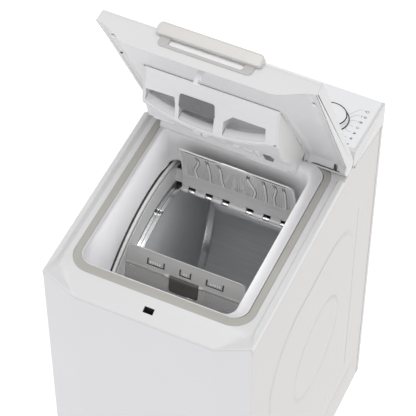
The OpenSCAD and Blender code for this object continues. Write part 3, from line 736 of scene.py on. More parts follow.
def flap_strip(path, half, low, peak, hinge, sign, radius, shy=240.0):
    """Raised strip with softened shoulders that follows (u, v) points over a flap."""
    rings = []
    count = len(path)
    for i, (u, v) in enumerate(path):
        a, b = path[max(0, i - 1)], path[min(count - 1, i + 1)]
        du, dv = b[0] - a[0], b[1] - a[1]
        size = math.hypot(du, dv)
        nu, nv = -dv / size, du / size
        taper = 0.35 if i in (0, count - 1) else 1.0
        high = peak + (shy - peak) * step((v - 103) / 7)
        ring = []
        for off, r in ((-half, low), (-half, (low + high) / 2), (-half * 0.55, high), (half * 0.55, high),
                       (half, (low + high) / 2), (half, low)):
            ring.append(drum_at(u + nu * off * taper, low + (r - low) * taper,
                                hinge + sign * math.degrees((v + nv * off * taper) / radius)))
        rings.append(ring)
    return capped(rings)


def rear_flap():
    """Rear flap: perforated sheet, a dark sheet behind the holes, dark strips beside the ribs (both painted
    shadow), wavy ribs and the catch at its tip.
    """
    us = spread(FLAP_X[0], FLAP_X[1], 60)
    vs = spread(9, REAR_LENGTH, 35)
    place = flap_place(REAR_RADIUS, REAR_HINGE_A, -1, REAR_LENGTH, rear_relief)
    sheet = mesh_object("rear_flap_sheet", perforated(us, vs, rear_hole, place), "rear_flap",
                        "flap_steel", 40)
    thicken(sheet, 1.0, 0.0)
    knuckle_row("rear_flap", REAR_HINGE_A, -1, REAR_RADIUS)
    a0 = REAR_HINGE_A - math.degrees(42 / REAR_RADIUS)
    a1 = REAR_HINGE_A - math.degrees(129 / REAR_RADIUS)
    # dark sheet just behind the perforations: painted shadow seen through the holes
    hole_shadow = [(-121, 242.9), (105, 242.9), (105, 243.3), (-121, 243.3)]
    mesh_object("rear_flap_hole_shadow", arc_sweep(hole_shadow, a1, a0, 24), "rear_flap", "dark_plastic", 40)
    # the second list holds thin dark strips beside each rib, across the flap and by the catch: painted shadow
    # lines
    strips, shadow_strips = [], []
    on_flap = lambda path, half, high: flap_strip(path, half, 240.9, high, REAR_HINGE_A, -1, REAR_RADIUS)
    for rib in REAR_RIBS:
        path = [(rib_at(rib, v), v) for v in spread(RIB_TOP, RIB_FOOT, 26)]
        strips.append(on_flap(path, 2.1, 238.4))
        shadow_strips.append(flap_strip(path, 3.3, 241.0, 240.4, REAR_HINGE_A, -1, REAR_RADIUS))
    rim = [(FLAP_X[0] + 2.4, 60)] + [(FLAP_X[0] + 2.4, v) for v in (90, 120)] + [
        (FLAP_X[0] + 3.4, 134), (FLAP_X[0] + 8, 141.5), (FLAP_X[0] + 16, 144.2)]
    rim += [(u, 144.2) for u in (-90, -60, -44)] + [(-40, 144.2), (-38, 144.6)]
    strips.append(on_flap(rim, 1.9, 239.2))
    rim = [(22, 144.6), (24, 144.2)] + [(u, 144.2) for u in (40, 60, 80)] + [
        (FLAP_X[1] - 16, 144.2), (FLAP_X[1] - 8, 141.5), (FLAP_X[1] - 3.4, 134)] + [
        (FLAP_X[1] - 2.4, v) for v in (120, 90, 60)]
    strips.append(on_flap(rim, 1.9, 239.2))
    # ribs and rim get the lighter copy of the flap steel: painted highlight on the raised parts
    mesh_object("rear_flap_ribs", merge(*strips), "rear_flap", "flap_rib", 40)
    for u0, u1 in ((-112, -44), (28, 96)):
        path = [(u, 137.2) for u in spread(u0, u1, 10)]
        shadow_strips.append(flap_strip(path, 1.2, 241.2, 239.9, REAR_HINGE_A, -1, REAR_RADIUS))
    shadow_strips.append(flap_strip([(-18, 143), (0, 143)], 1.5, 240.2, 239.6, REAR_HINGE_A, -1, REAR_RADIUS,
                              239.5))
    # the dark strips beside the ribs: painted shadow
    mesh_object("rear_flap_shadow_strips", merge(*shadow_strips), "rear_flap", "dark_plastic", 40)
    latch = [(-38, 142), (-31, 151), (15, 151), (22, 142), (17, 135), (-33, 135)]
    outline = rounded_path(latch, 3, 4)
    rings = []
    for r in (241.6, 240.3, 239.9, 239.7):
        inset = {239.9: 0.5, 239.7: 1.6}.get(r, 0)
        rings.append([drum_at(-8 + (u + 8) * (1 - inset / 30), r, REAR_HINGE_A - math.degrees(
            (v + (143 - v) * inset / 8) / 242)) for u, v in outline])
    # the catch gets the lighter copy of the flap steel too: painted highlight
    mesh_object("rear_flap_latch", capped(rings), "rear_flap", "flap_rib", 40)


def knuckle_row(node, hinge, sign, radius):
    """Rolled hinge knuckles with their arms, in the gaps between the drum's loops."""
    _, y, z = drum_at(0, DRUM_R, hinge)
    parts = []
    for a, b in KNUCKLES:
        parts.append(x_pin(DRUM_X + a, DRUM_X + b, 4.4, y, z, 0.6))
        rows = []
        for v in (3.0, 5, 7, 9.5):
            r0 = radius - 0.6 + (0.6 if v < 4 else 0)
            a_v = hinge + sign * math.degrees(v / radius)
            rows.append([drum_at(DRUM_X + a, r0, a_v), drum_at(DRUM_X + b, r0, a_v),
                         drum_at(DRUM_X + b, r0 + 1.3, a_v), drum_at(DRUM_X + a, r0 + 1.3, a_v)])
        parts.append(capped(rows))
    mesh_object(node + "_knuckles", merge(*parts), node, "flap_steel", 40)


FRONT_LENGTH, FRONT_RADIUS = 145.0, 237.2
HOOKS = ((-68, 17.5), (-8, 11), (52, 17.5))
HOOK_V = (112, 127)
BUTTON_X, BUTTON_V = 30, (67.5, 106)


def front_relief(u, v):
    """Raised and sunk bands of the front flap, in millimetres."""
    height = -1.4 * step((102 - v) / 4)
    height += 1.0 * ridge(v, 104, 2.2)
    height += 0.8 * ridge(v, 143.5, 1.6)
    edge = min(u - FLAP_X[0], FLAP_X[1] - u)
    height += 1.3 * step((5 - edge) / 4)
    if v < 108:
        height += 2.2 * step((41 - abs(u - DRUM_X)) / 5) * step((108 - v) / 4) * step((v - 54) / 6)
    return height


def front_hole(u, v):
    """Hook slots, the opening for the button, and round holes in a chequered field."""
    for x, half in HOOKS:
        if HOOK_V[0] < v < HOOK_V[1] and abs(u - x) < half:
            side = half - abs(u - x) < 3.2
            foot = v < HOOK_V[0] + 3.0
            if side or foot:
                return "open"
    if abs(u - DRUM_X) < BUTTON_X and BUTTON_V[0] < v < BUTTON_V[1]:
        return "open"
    edge = min(u - FLAP_X[0], FLAP_X[1] - u)
    if 14 < v < 98 and abs(u - DRUM_X) > 44 and edge > 7:
        column, row = round(u / 2.95), int(v / 2.9)
        return (0.9, 0.9) if (column + row) % 2 == 0 else None
    return None


def front_flap():
    """Front flap: perforated sheet, dark sheets behind the hook slots (painted shadow seen through them) and
    teeth.
    """
    us = spread(FLAP_X[0], FLAP_X[1], 80)
    vs = spread(9, FRONT_LENGTH, 47)
    place = flap_place(FRONT_RADIUS, FRONT_HINGE_A, 1, FRONT_LENGTH, front_relief)
    # the front flap's sheet gets the darker copy of the flap steel: painted shade
    sheet = mesh_object("front_flap_sheet", perforated(us, vs, front_hole, place), "front_flap",
                        "flap_steel_dark", 40)
    thicken(sheet, 1.0, 0.0)
    knuckle_row("front_flap", FRONT_HINGE_A, 1, FRONT_RADIUS)
    parts = []
    # dark sheets just behind the hook slots: painted shadow seen through them
    for x, half in HOOKS:
        back = [(x - half - 2, 234.6), (x + half + 2, 234.6), (x + half + 2, 235.6), (x - half - 2, 235.6)]
        a0 = FRONT_HINGE_A + math.degrees((HOOK_V[0] - 2) / FRONT_RADIUS)
        a1 = FRONT_HINGE_A + math.degrees((HOOK_V[1] + 2) / FRONT_RADIUS)
        parts.append(arc_sweep(back, a0, a1, 6))
    mesh_object("front_flap_hook_shadows", merge(*parts), "front_flap", "dark_plastic", 40)
    teeth = []
    for x, half in HOOKS:
        count = 5 if half > 12 else 2
        for i in range(count):
            cx = x + (i - (count - 1) / 2) * 4.6
            a = FRONT_HINGE_A + math.degrees(120.5 / FRONT_RADIUS)
            ring = [(cx - 1.4, 237.4), (cx + 1.4, 237.4), (cx + 0.9, 238.6), (cx - 0.9, 238.6)]
            teeth.append(arc_sweep(ring, a - 0.5, a + 0.5, 3))
    mesh_object("front_flap_teeth", merge(*teeth), "front_flap", "flap_steel", 40)


def flap_button():
    """Dark press button with a finger ridge, drawn on the curve of the flap."""
    u0, u1 = DRUM_X - BUTTON_X + 1, DRUM_X + BUTTON_X - 1
    rings = []
    for lift, inset in ((-4, 0), (0.2, 0), (1.2, 0.5), (1.8, 1.6), (1.2, 6), (0.6, 14)):
        ring = []
        for x, v, _ in round_ring(u0 + inset, u1 - inset, BUTTON_V[0] + 1 + inset,
                                  BUTTON_V[1] - 1 - inset, max(0.6, 5 - inset), 0, 6):
            bend = 1.4 * ridge(v, BUTTON_V[1] - 6, 5)
            ring.append(drum_at(x, 237.6 + lift + (bend if lift > 0 else 0),
                                FRONT_HINGE_A + math.degrees(v / FRONT_RADIUS)))
        rings.append(ring)
    mesh_object("flap_button_cap", topped(rings), "flap_button", "dark_plastic", 50)


OPEN_A = (-44.0, 20.8)


def drum():
    """Drum wall with its perforations, rolled rims, hinge loops and rods."""
    x0, x1 = DRUM_X - DRUM_HALF, DRUM_X + DRUM_HALF
    us = spread(FLAP_X[0] - 2, FLAP_X[1] + 2, 30)
    turn = 360 + OPEN_A[0] - OPEN_A[1]
    vs = spread(OPEN_A[1], OPEN_A[1] + turn, 152)

    def wall_hole(u, v):
        column = round((u - us[0] - 4) / 8)
        row = round((v - vs[0]) / 1.94)
        if 150 < v < 300 and column % 2 == row % 2 and 1 < column < 29:
            return (1.7, 0.42)
        return None

    shell = mesh_object("drum_wall", perforated(us, vs, wall_hole, lambda u, v: drum_at(u, 239, v)),
                        "drum_shell", "stainless", 40)
    thicken(shell, 1.2, 0.0)
    parts = []
    for end, s, inner in ((x0, 1, us[0]), (x1, -1, us[-1])):
        profile = [(end, 233.5), (end, 239.4), (end + s * 0.8, 240.2), (end + s * 2.6, 240.0),
                   (end + s * 3.4, 238.2), (end + s * 5.0, 238.0), (end + s * 5.8, 240.0),
                   (end + s * 7.4, 240.2), (end + s * 8.2, 238.4), (end + s * 10.4, 238.2),
                   (end + s * 11.4, 240.3), (inner, 240.3), (inner, 237.8), (end + s * 3, 233.5)]
        parts.append(arc_sweep(profile, 0, 360, 180))
    mesh_object("drum_rims", merge(*parts), "drum_shell", "bright_steel", 35)
    loops = []
    for hinge in (FRONT_HINGE_A, REAR_HINGE_A):
        _, y, z = drum_at(0, DRUM_R, hinge)
        out = 1 if hinge > 0 else -1
        for x in LOOPS:
            loops.append(x_pin(DRUM_X + x - 6, DRUM_X + x + 6, 4.4, y, z, 0.7))
            strap = [(DRUM_X + x - 6, 238.4), (DRUM_X + x + 6, 238.4), (DRUM_X + x + 6, 240.4),
                     (DRUM_X + x - 6, 240.4)]
            loops.append(arc_sweep(strap, hinge + out * 0.6, hinge + out * 3.4, 4))
    mesh_object("drum_hinge_loops", merge(*loops), "drum_shell", "bright_steel", 40)
    rods = []
    for hinge in (FRONT_HINGE_A, REAR_HINGE_A):
        _, y, z = drum_at(0, DRUM_R, hinge)
        rods.append(x_pin(DRUM_X - 118, DRUM_X + 118, 2, y, z, 0.5))
    mesh_object("flap_rods", merge(*rods), "flap_hinge_rods", "bright_steel", 40)


def drum_ends():
    """Pressed end plates with a stiffening ring and radial beads."""
    for name, face_x, s in (("left", DRUM_X - DRUM_HALF + 3, 1), ("right", DRUM_X + DRUM_HALF - 3, -1)):
        rings = []
        radii = [14, 30, 50, 62, 66, 80, 100, 120, 140, 160, 180, 200, 214, 220, 228, 238.3]
        for r in radii:
            ring = []
            for k in range(96):
                a = 360 * k / 96
                bead = 0.0
                if 70 < r < 212:
                    near = abs((a + 15) % 30 - 15)
                    bead = 0.5 * ridge(near, 0, 6) * step((r - 70) / 30) * step((212 - r) / 25)
                dish = 5.0 * step((66 - r) / 12) + 0.8 * ridge(r, 217, 8)
                p = drum_at(0, r, a)
                ring.append((face_x + s * (bead + dish - 2.0), p[1], p[2]))
            rings.append(ring)
        obj = mesh_object("drum_end_" + name, loft(rings), "drum_end_plates", "stainless", 50)
        thicken(obj, 1.0, 0.0)


def lifters():
    """Three wavy paddles inside the drum."""
    parts = []
    for a in (70, 160, 250):
        rings = []
        for i in range(25):
            x = DRUM_X - 125 + 250 * i / 24
            end = min(i, 24 - i)
            top = 190 + 40 * (1 - step(end / 3.5))
            wave = 2.5 * math.sin(i * 1.05)
            ring = []
            for off, r in ((-26, 237), (-22, 226), (-13, top + 8), (-8 + wave * 0.3, top + 1.5), (0, top),
                           (8 + wave * 0.3, top + 1.5), (13, top + 8), (22, 226), (26, 237)):
                ring.append(drum_at(x, min(r, 237), a + math.degrees(off / 215)))
            rings.append(ring)
        verts, faces = loft(rings, closed=False)
        parts.append((verts, faces))
    obj = mesh_object("drum_paddles", merge(*parts), "drum_lifters", "stainless", 50)
    thicken(obj, 1.2, 0.0)


rear_flap()
front_flap()
flap_button()
drum()
drum_ends()
lifters()

# ---------- lid, drawn closed and turned to its rest angle ----------


def flat_plate(outlines, half, edge, fine=2):
    """Plate with openings: the first outline is the rim, the others are cut out of it."""
    curve = bpy.data.curves.new("plate_outline", "CURVE")
    curve.dimensions = "2D"
    curve.fill_mode = "BOTH"
    curve.extrude = half - edge
    curve.bevel_depth = edge
    curve.bevel_resolution = fine
    for outline in outlines:
        spline = curve.splines.new("POLY")
        spline.points.add(len(outline) - 1)
        for point, (u, v) in zip(spline.points, outline):
            point.co = (u, v, 0, 1)
        spline.use_cyclic_u = True
    obj = bpy.data.objects.new("plate_outline", curve)
    bpy.context.scene.collection.objects.link(obj)
    bpy.context.view_layer.update()
    mesh = bpy.data.meshes.new_from_object(obj.evaluated_get(bpy.context.evaluated_depsgraph_get()))
    verts = [tuple(v.co) for v in mesh.vertices]
    faces = [tuple(f.vertices) for f in mesh.polygons]
    bpy.data.objects.remove(obj)
    bpy.data.curves.remove(curve)
    bpy.data.meshes.remove(mesh)
    return verts, faces


def moved(part, place):
    """A part with each point taken through place(x, y, z)."""
    verts, faces = part
    return [place(*v) for v in verts], faces


def band_low(x):
    """Lower edge of the lid's front band: deep in the middle, level with the sides at its ends."""
    return 874.2 + 25.8 * step((abs(x) - 126) / 72)


def band_y(z):
    """Depth of the leaning front band at one height."""
    return LID_FRONT - BAND_LEAN * (LID_TOP - z)


SLOT_X, SLOT_Z = 67, (897, 909.5)


def lid_nose():
    """Curve from the front band on to the lid's top, in depth and height."""
    a, b, c = (band_y(917), 917), (LID_FRONT, LID_TOP), (-287, LID_TOP)
    return [tuple(a[i] * (1 - t) ** 2 + 2 * b[i] * t * (1 - t) + c[i] * t * t for i in (0, 1))
            for t in spread(0, 1, 6)]


def lid_heel(step_deg):
    """Half circle about the hinge, from the lid's top down and round."""
    return [(HINGE_Y + LID_R * math.cos(math.radians(a)), HINGE_Z + LID_R * math.sin(math.radians(a)))
            for a in range(90, -91, -step_deg)]


def lid_section(x):
    """Closed outline of the lid's shell in depth and height at one place along the width."""
    low = band_low(x)
    slot_low = max(low + 8, SLOT_Z[0])
    outer = [(band_y(low) + 0.8, low)]
    outer += [(band_y(z), z) for z in (low + 0.8, low + 6, slot_low, max(slot_low + 1, SLOT_Z[1]))]
    outer += lid_nose()
    for y in (-240, -160, -80, 0, 70):
        outer.append((y, LID_TOP))
    outer += lid_heel(15)
    inner = []
    count = len(outer)
    for i, p in enumerate(outer):
        a, b = outer[max(0, i - 1)], outer[min(count - 1, i + 1)]
        t = (Vector(b) - Vector(a)).normalized()
        inner.append((p[0] + t.y * 2.5, p[1] - t.x * 2.5))
    return outer + inner[::-1]


def lid_shell():
    """Outer shell of the lid with the finger slot, and its two solid sides."""
    xs = sorted({s * x for x in (197.6, 190, 183, 176, 168, 160, 152, 144, 136, 128, 118, 100, 84,
                                 SLOT_X, 50, 25, 0) for s in (-1, 1)})
    rings = [[(x, y, z) for y, z in lid_section(x)] for x in xs]
    total = len(rings[0])

    def in_slot(i, k):
        across = -SLOT_X <= xs[i] and xs[i + 1] <= SLOT_X
        return across and (k == 3 or k == total - 5)

    shell = loft(rings, skip=in_slot)
    sides = []
    outline = lid_nose()[:-1] + [(LID_FRONT + 9, LID_TOP), (-100, LID_TOP)] + lid_heel(10)
    outline += [(112, 890), (104, LID_LOW), (-100, LID_LOW), (band_y(LID_LOW) + 0.8, LID_LOW),
                (band_y(LID_LOW + 1), LID_LOW + 1)]
    for s in (-1, 1):
        verts, faces = prism(outline, 196.2, 200, 2.0, 4)
        sides.append(([(s * x, y, z) for x, y, z in verts], faces))
    mesh_object("lid_shell", merge(shell, *sides), "lid_outer", "white_plastic", 32)


def tray_right(y):
    """Right side of the detergent tray, which flares towards the lid's hinge."""
    return 103.5 + 13.5 * step((y + 118) / 215)


def liner_height(x, y):
    """Height of the inner liner, with its beads, dishes and the fall to the front band."""
    ax = abs(x)
    low = band_low(x)
    z = 902.6
    side = 195.9 - ax
    if y < -284:
        foot = band_y(low) + 3.2
        t = max(0.0, min(1.0, (y - foot) / (-286 - foot)))
        z = low + 2.6 + (901.2 - low - 2.6) * step(t) ** 0.85
        z = min(z, 902.6)
    z -= 1.9 * step((4.2 - side) / 2.5) * step((112 - y) / 4)
    z -= 10.5 * step((y - 108) / 14)
    z += 1.6 * ridge(side, 12, 2.2) * step((y + 290) / 8)
    z += 1.5 * ridge(y, -277, 2.2) * step((side - 8) / 5)
    z -= 1.0 * ridge(y, -262, 2.0) * step((side - 22) / 5)
    if x > 96:
        gap = x - tray_right(y)
        if y > -118:
            z += 2.4 * ridge(gap, 4.0, 2.0)
            z += 3.0 * step((gap - 9) / 10) * step((190 - x) / 14) * step((y + 150) / 40)
    if side < 7 and y < 108:
        z = max(z, 900.3)
    return z


def liner():
    """Inner panel of the lid, open over the tray and round the hinge brackets."""
    fine = [195.9, 194.6, 193.4, 192, 190.5, 188, 185.5, 183, 180.5, 173.5]
    xs = sorted({-x for x in fine} | set(fine) | {-168, -160, -155.5, -135, -110, -85, -60, -35, -10, 15,
                                                  40, 65, 85} | {96 + 2.2 * i for i in range(34)})
    ys = [-312, -308, -304, -300, -296, -292, -288, -285, -282, -279.5, -277, -274.5, -272, -268, -264.5,
          -262, -259.5, -256, -245, -225, -200, -175, -150, -135, -120.5]
    ys += [-105 + 10 * i for i in range(21)] + [100, 104, 107, 110, 113, 116, 119, 122, 125]
    ys = sorted(set(ys))
    index, verts, faces = {}, [], []
    for i, x in enumerate(xs):
        for k, y in enumerate(ys):
            foot = band_y(band_low(x)) + 1.7
            yy = foot + (y - ys[0]) / (-285 - ys[0]) * (-285 - foot) if y < -285 else y
            index[i, k] = len(verts)
            verts.append((x, yy, liner_height(x, yy)))
    for i in range(len(xs) - 1):
        for k in range(len(ys) - 1):
            xm, ym = (xs[i] + xs[i + 1]) / 2, (ys[k] + ys[k + 1]) / 2
            if -155.5 < xm < tray_right(ym) - 0.8 and ym > -120.5:
                continue
            if 173.5 < abs(xm) < 180.5 and ym > 113:
                continue
            faces.append((index[i, k], index[i + 1, k], index[i + 1, k + 1], index[i, k + 1]))
    # the inner panel gets the darker copy of the liner plastic: painted shade under the open lid
    obj = mesh_object("lid_liner_panel", (verts, faces), "lid_liner", "liner_shade", 60)
    thicken(obj, 1.6, 0.0)


def band_point(x, z, lift):
    """Point over the lid's front band; lift is measured outwards from it."""
    lean = math.atan(BAND_LEAN)
    return (x, band_y(z) - lift * math.cos(lean), z + lift * math.sin(lean))


def handle():
    """The grey bar over the finger slot."""
    profile = rounded_path([(-303.6, 910.6), (-312.5, 912), (-312.5, 931), (-309, 934.2), (-291, 934.2),
                            (-288, 931.5), (-288, 925.2), (-297.5, 925.2)],
                           [0.6, 1.6, 2.4, 2.4, 3, 2, 1, 1], 4)
    rings = []
    half_rows = [(-95 + 8 * (1 - math.cos(math.radians(90 * k / 6))), 1 - math.sin(math.radians(90 * k / 6)))
                 for k in range(7)]
    rows = half_rows + [(x, 0.0) for x in (-60, 0, 60)] + [(-x, c) for x, c in reversed(half_rows)]
    for x, cut in rows:
        shift = 8 * cut
        rings.append([(x, y + (0.35 * shift if y < -300 else 0),
                       z + (-shift if z > 920 else shift * 0.5)) for y, z in profile])
    mesh_object("lid_handle_bar", capped(rings), "lid_handle", "handle_grey", 40)


def u_path(half, low, top, r, n=8):
    """A U with rounded lower corners, from its upper left end to its upper right one."""
    corner = [(r - r * math.cos(math.radians(90 * k / n)), r - r * math.sin(math.radians(90 * k / n)))
              for k in range(n + 1)]
    left = [(-half, top), (-half, (top + low + r) / 2)] + [(x - half, low + z) for x, z in corner]
    return left + [(0, low)] + [(-x, z) for x, z in reversed(left)]


def bezel():
    """Grey surround of the finger slot and the pocket behind it."""
    rings = []
    for t, lift in ((0, 0.1), (0.0, 1.8), (0.06, 2.5), (0.14, 2.8), (0.86, 2.8), (0.94, 2.5), (1.0, 1.8),
                    (1.0, -1.6), (1.0, -3.4)):
        half = 85 + (67 - 85) * t
        low = 891.8 + (897 - 891.8) * t
        rings.append([band_point(x, z, lift) for x, z in u_path(half, low, 911.4, 9 - 4 * t)])
    mesh_object("handle_ring", loft(rings, closed=False), "handle_bezel", "bezel_grey", 45)
    back = []
    for half, low, lift in ((66.8, 897.3, -1.4), (66.8, 897.3, -2.4), (66.2, 897.9, -2.9), (65, 899.1, -3.1)):
        back.append([band_point(x, z, lift) for x, z in u_path(half, low, 911.2, 4.8)])
    mesh_object("handle_pocket", topped(back, closed=False), "handle_bezel", "facia_white", 45)


def lid_trims():
    """Small dark plug and two rubber pads under the lid."""
    plug = topped([[(x, y, z) for x, y in circle(*PLUG, r, 12)] for r, z in ((2.2, 901.6), (2.2, 900.0),
                                                                          (1.5, 899.7))])
    mesh_object("lid_plug", plug, "lid_screws", "dark_plastic", 40)
    pads = [topped([[(x, y, z) for x, y in circle(s * PAD[0], PAD[1], r, 18)]
                    for r, z in ((4.2, 901.5), (4.0, 899.2), (3.2, 898.6))]) for s in (-1, 1)]
    mesh_object("lid_pads", merge(*pads), "lid_buffers", "liner_plastic", 40)


# ---------- detergent tray under the lid ----------

FACE_TOP = (-118.0, 900.5)
FACE_D = (0.811, -0.585)
FACE_N = (-0.585, -0.811)
TRAY_LEFT = -153


def rim_t(x):
    """Distance down the tray's face to its curved lower rim."""
    return max(76.0, 75 + 25 * (1 - ((x + 30) / 125) ** 2))


def on_face(x, t, h):
    """Point on the tray's sloping face: t down the slope, h outwards from it."""
    return (x, FACE_TOP[0] + t * FACE_D[0] + h * FACE_N[0], FACE_TOP[1] + t * FACE_D[1] + h * FACE_N[1])


def face_right(t):
    return tray_right(FACE_TOP[0] + t * FACE_D[0])


RIM = 999               # stands for the lip along the curved rim
MOUTHS = (
    ((-148.5, 47), (-92, 45), (-90, 58), (-88.5, RIM), (-148.5, RIM)),
    ((-82.5, 33), (-17, 33), (-14.5, 58), (-14.5, RIM), (-83, RIM)),
    ((19, 45), (82, 45), (84, RIM), (2, RIM), (2, 62)),
)


def mouth_outline(points, inset=0.0):
    """A mouth's rounded outline, with the lip's curve where it meets the rim."""
    path = []
    for i, (x, t) in enumerate(points):
        nx, nt = points[(i + 1) % len(points)]
        if t == RIM and nt == RIM:
            for k in range(9):
                xx = x + (nx - x) * k / 8
                path.append((xx, rim_t(xx) - 4.2))
        elif t != RIM:
            path.append((x, t))
    cx = sum(p[0] for p in path) / len(path)
    ct = sum(p[1] for p in path) / len(path)
    out = rounded_path(path, 3.5, 4)
    if inset:
        out = [(x + (cx - x) * inset / 30, t + (ct - t) * inset / 22) for x, t in out]
    return out


def tray():
    """The tray: its face with three mouths, the pockets behind them, and the rest of it."""
    rim = [(x, rim_t(x)) for x in spread(TRAY_LEFT + 2, 98, 24)]
    right = [(face_right(72), 72), (face_right(40), 40), (face_right(0), 0)]
    outline = rounded_path([(TRAY_LEFT, 0), (TRAY_LEFT, 72)] + rim + right, [2, 6] + [0] * 25 + [6, 0, 2], 4)
    outline.reverse()
    mouths = [mouth_outline(m) for m in MOUTHS]
    plate = moved(flat_plate([outline] + mouths, 1.3, 0.7, 3), lambda u, t, h: on_face(u, t, h - 1.3))
    mesh_object("tray_face", plate, "dispenser_tray", "liner_plastic", 40)
    pockets = []
    for m, deep in zip(mouths, (34, 40, 36)):
        cx = sum(p[0] for p in m) / len(m)
        rings = []
        for depth, shrink in ((1.0, 0), (12, 0.015), (26, 0.04), (deep - 3, 0.07), (deep, 0.14)):
            ring = []
            for x, t in m:
                lean = 0.5 * depth
                along = t * (1 - shrink * 0.4) + 5 * shrink + lean * 0.35
                ring.append(on_face(x + (cx - x) * shrink, along, -depth))
            rings.append(ring)
        pockets.append(topped(rings))
    # the pocket walls get the darker copy of the liner plastic: painted shade inside the pockets
    mesh_object("tray_pockets", merge(*pockets), "dispenser_tray", "tray_shade", 40)
    floors = []
    for x0, x1 in ((-147.5, -89.5), (-82, -15.5), (3.5, 83)):
        rings = []
        for x in spread(x0, x1, 10):
            t = rim_t(x) - 4.6
            rings.append([on_face(x, t + 0.6, -1.2), on_face(x, t - 1.0, -1.6), on_face(x, t - 8, -11),
                          on_face(x, t - 8, -13.5), on_face(x, t + 0.6, -5)])
        floors.append(capped(rings))
    mesh_object("tray_floors", merge(*floors), "dispenser_tray", "liner_plastic", 40)
    tray_body()
    tray_details()


def tray_profile(x):
    """Underside and back of the tray in depth and height, from the rim to the lid."""
    t = rim_t(x)
    y0, z0 = FACE_TOP[0] + t * FACE_D[0], FACE_TOP[1] + t * FACE_D[1]
    drop = (t - 76) / 24
    knee = [(y0 + 1.0, z0 - 0.6), (y0 + 4, z0 - 1.0), (y0 + 8, z0 + 0.4)]
    y1 = max(y0 + 14, -34 + 6 * drop)
    z1 = z0 + 3.0
    return knee + [(y1, z1), (8, 850.5), (20, 853), (44, 862), (56, 866.4), (74, 866.8), (88, 866.4),
                   (91, 864), (94, 859), (97, 857.4), (104, 857.2), (106, 859), (106, 880), (106, 909)]


def tray_body():
    """Underside and sides of the tray."""
    xs = spread(TRAY_LEFT + 1, 99, 50)
    rings = []
    for x in xs:
        rings.append([(x, y, z) for y, z in tray_profile(x)])
    last = [(tray_right(y) - 1, y, z) for y, z in tray_profile(99)]
    mid = [((99 + tray_right(y) - 1) / 2, y, z) for y, z in tray_profile(99)]
    obj = mesh_object("tray_underside", loft(rings + [mid, last], closed=False), "dispenser_tray",
                      "liner_plastic", 50)
    thicken(obj, 1.6, 0.0)
    walls = []
    for x, side in ((TRAY_LEFT, 0), (0, 1)):
        prof = tray_profile(-153 if side == 0 else 99)
        outline = [FACE_TOP] + [(FACE_TOP[0] + 74 * FACE_D[0], FACE_TOP[1] + 74 * FACE_D[1])] + prof[2:-1] + [
            (106, 902), (0, 902)]
        outline = rounded_path(outline, 1.5, 2)
        if side == 0:
            place = lambda y, z, h: (TRAY_LEFT + 1.2 + h, y, z)
        else:
            place = lambda y, z, h: (tray_right(y) - 1.2 + h, y, z)
        walls.append(moved(flat_plate([outline], 1.2, 0.7, 3), place))
    # the side walls get the darker copy of the liner plastic: painted shade
    mesh_object("tray_sides", merge(*walls), "dispenser_tray", "tray_side", 40)


def block(x0, x1, y0, y1, z0, z1, r=1.5):
    """Small moulded block with rounded corners and a softened lower edge."""
    rings = []
    for inset, z in ((0, z1), (0, z0 + 1.0), (0.4, z0 + 0.3), (1.1, z0)):
        rings.append(round_ring(x0 + inset, x1 - inset, y0 + inset, y1 - inset, r, z, 3))
    return topped(rings)


def tray_details():
    """Outlet blocks and the small dark window under the tray."""
    blocks = [block(*sizes) for sizes in (
        (-66, -50, 10, 24, 846, 858), (-44, -34, 4, 14, 845, 856), (-20, -4, 16, 34, 850, 862),
        (14, 26, 6, 18, 846, 858), (32, 50, 12, 26, 849, 860), (56, 64, 2, 30, 848, 860),
        (-140, -100, 2, 6, 846.5, 856), (-140, -100, 14, 18, 849.5, 858), (20, 100, 97, 103, 853.8, 858))]
    mesh_object("tray_outlets", merge(*blocks), "dispenser_tray", "liner_plastic", 40)
    window = block(72, 88, 4, 34, 848.6, 853, 2)
    mesh_object("tray_window", window, "dispenser_tray", "softener_grey", 40)


def softener_cap():
    """Dark cap over the middle pocket, with a raised ring."""
    outline = rounded_path([(-82.2, 33.2), (-17.2, 33.2), (-14.8, 60), (-17.5, 64), (-80, 64), (-82.8, 60)],
                           [5, 5, 2, 3, 3, 2], 5)
    plate = moved(flat_plate([outline[::-1]], 1.4, 0.8, 3), lambda u, t, h: on_face(u, t, h - 0.4))
    mark = moved(flat_plate([circle(-49, 50, 10, 30), circle(-49, 50, 9, 30)], 0.35, 0.2, 1),
                 lambda u, t, h: on_face(u, t, h + 1.0))
    mesh_object("softener_flap", merge(plate, mark), "softener_cap", "softener_grey", 40)


def latch_tongue():
    """Thin tongue under the lid with the notch that the lock's bolt enters."""
    outline = [(-4.6, 853), (-3.2, 852.2), (3.4, 852.2), (4.8, 853.4), (4.8, 856.4), (1.0, 856.6),
               (1.0, 863.4), (4.8, 863.6), (5.0, 884), (4.0, 889.5), (-4.0, 889.5), (-5.0, 884)]
    tongue = moved(flat_plate([outline], 1.5, 0.7, 3), lambda x, z, h: (x, LOCK_Y + h, z))
    pad = rounded_path([(-13, -294.6), (13, -294.6), (13, -289), (-13, -289)], 2, 4)
    foot = moved(flat_plate([pad], 0.5, 0.3, 2),
                 lambda x, y, h: (x, y, 890.2 + (y + 296) * 0.94 + h))
    # the tongue gets the darker copy of the liner plastic: painted shade, so it does not stand out bright
    mesh_object("lid_latch_tongue", merge(tongue, foot), "latch_hook", "liner_shade", 40)


lid_shell()
liner()
latch_tongue()
handle()
bezel()
lid_trims()
tray()
softener_cap()

# ---------- console, facia print and knob ----------

KNOB = (123, 212)
BUTTON_Y = 212
BUTTONS = {"start_button": -120, "option_button": -80}


def on_facia(x, y, h):
    """Point on the sloping facia, h above it."""
    z = FACIA_Z - FACIA_FALL * (y - FACIA_Y)
    return (x, y + h * math.sin(FACIA_ANGLE), z + h * math.cos(FACIA_ANGLE))


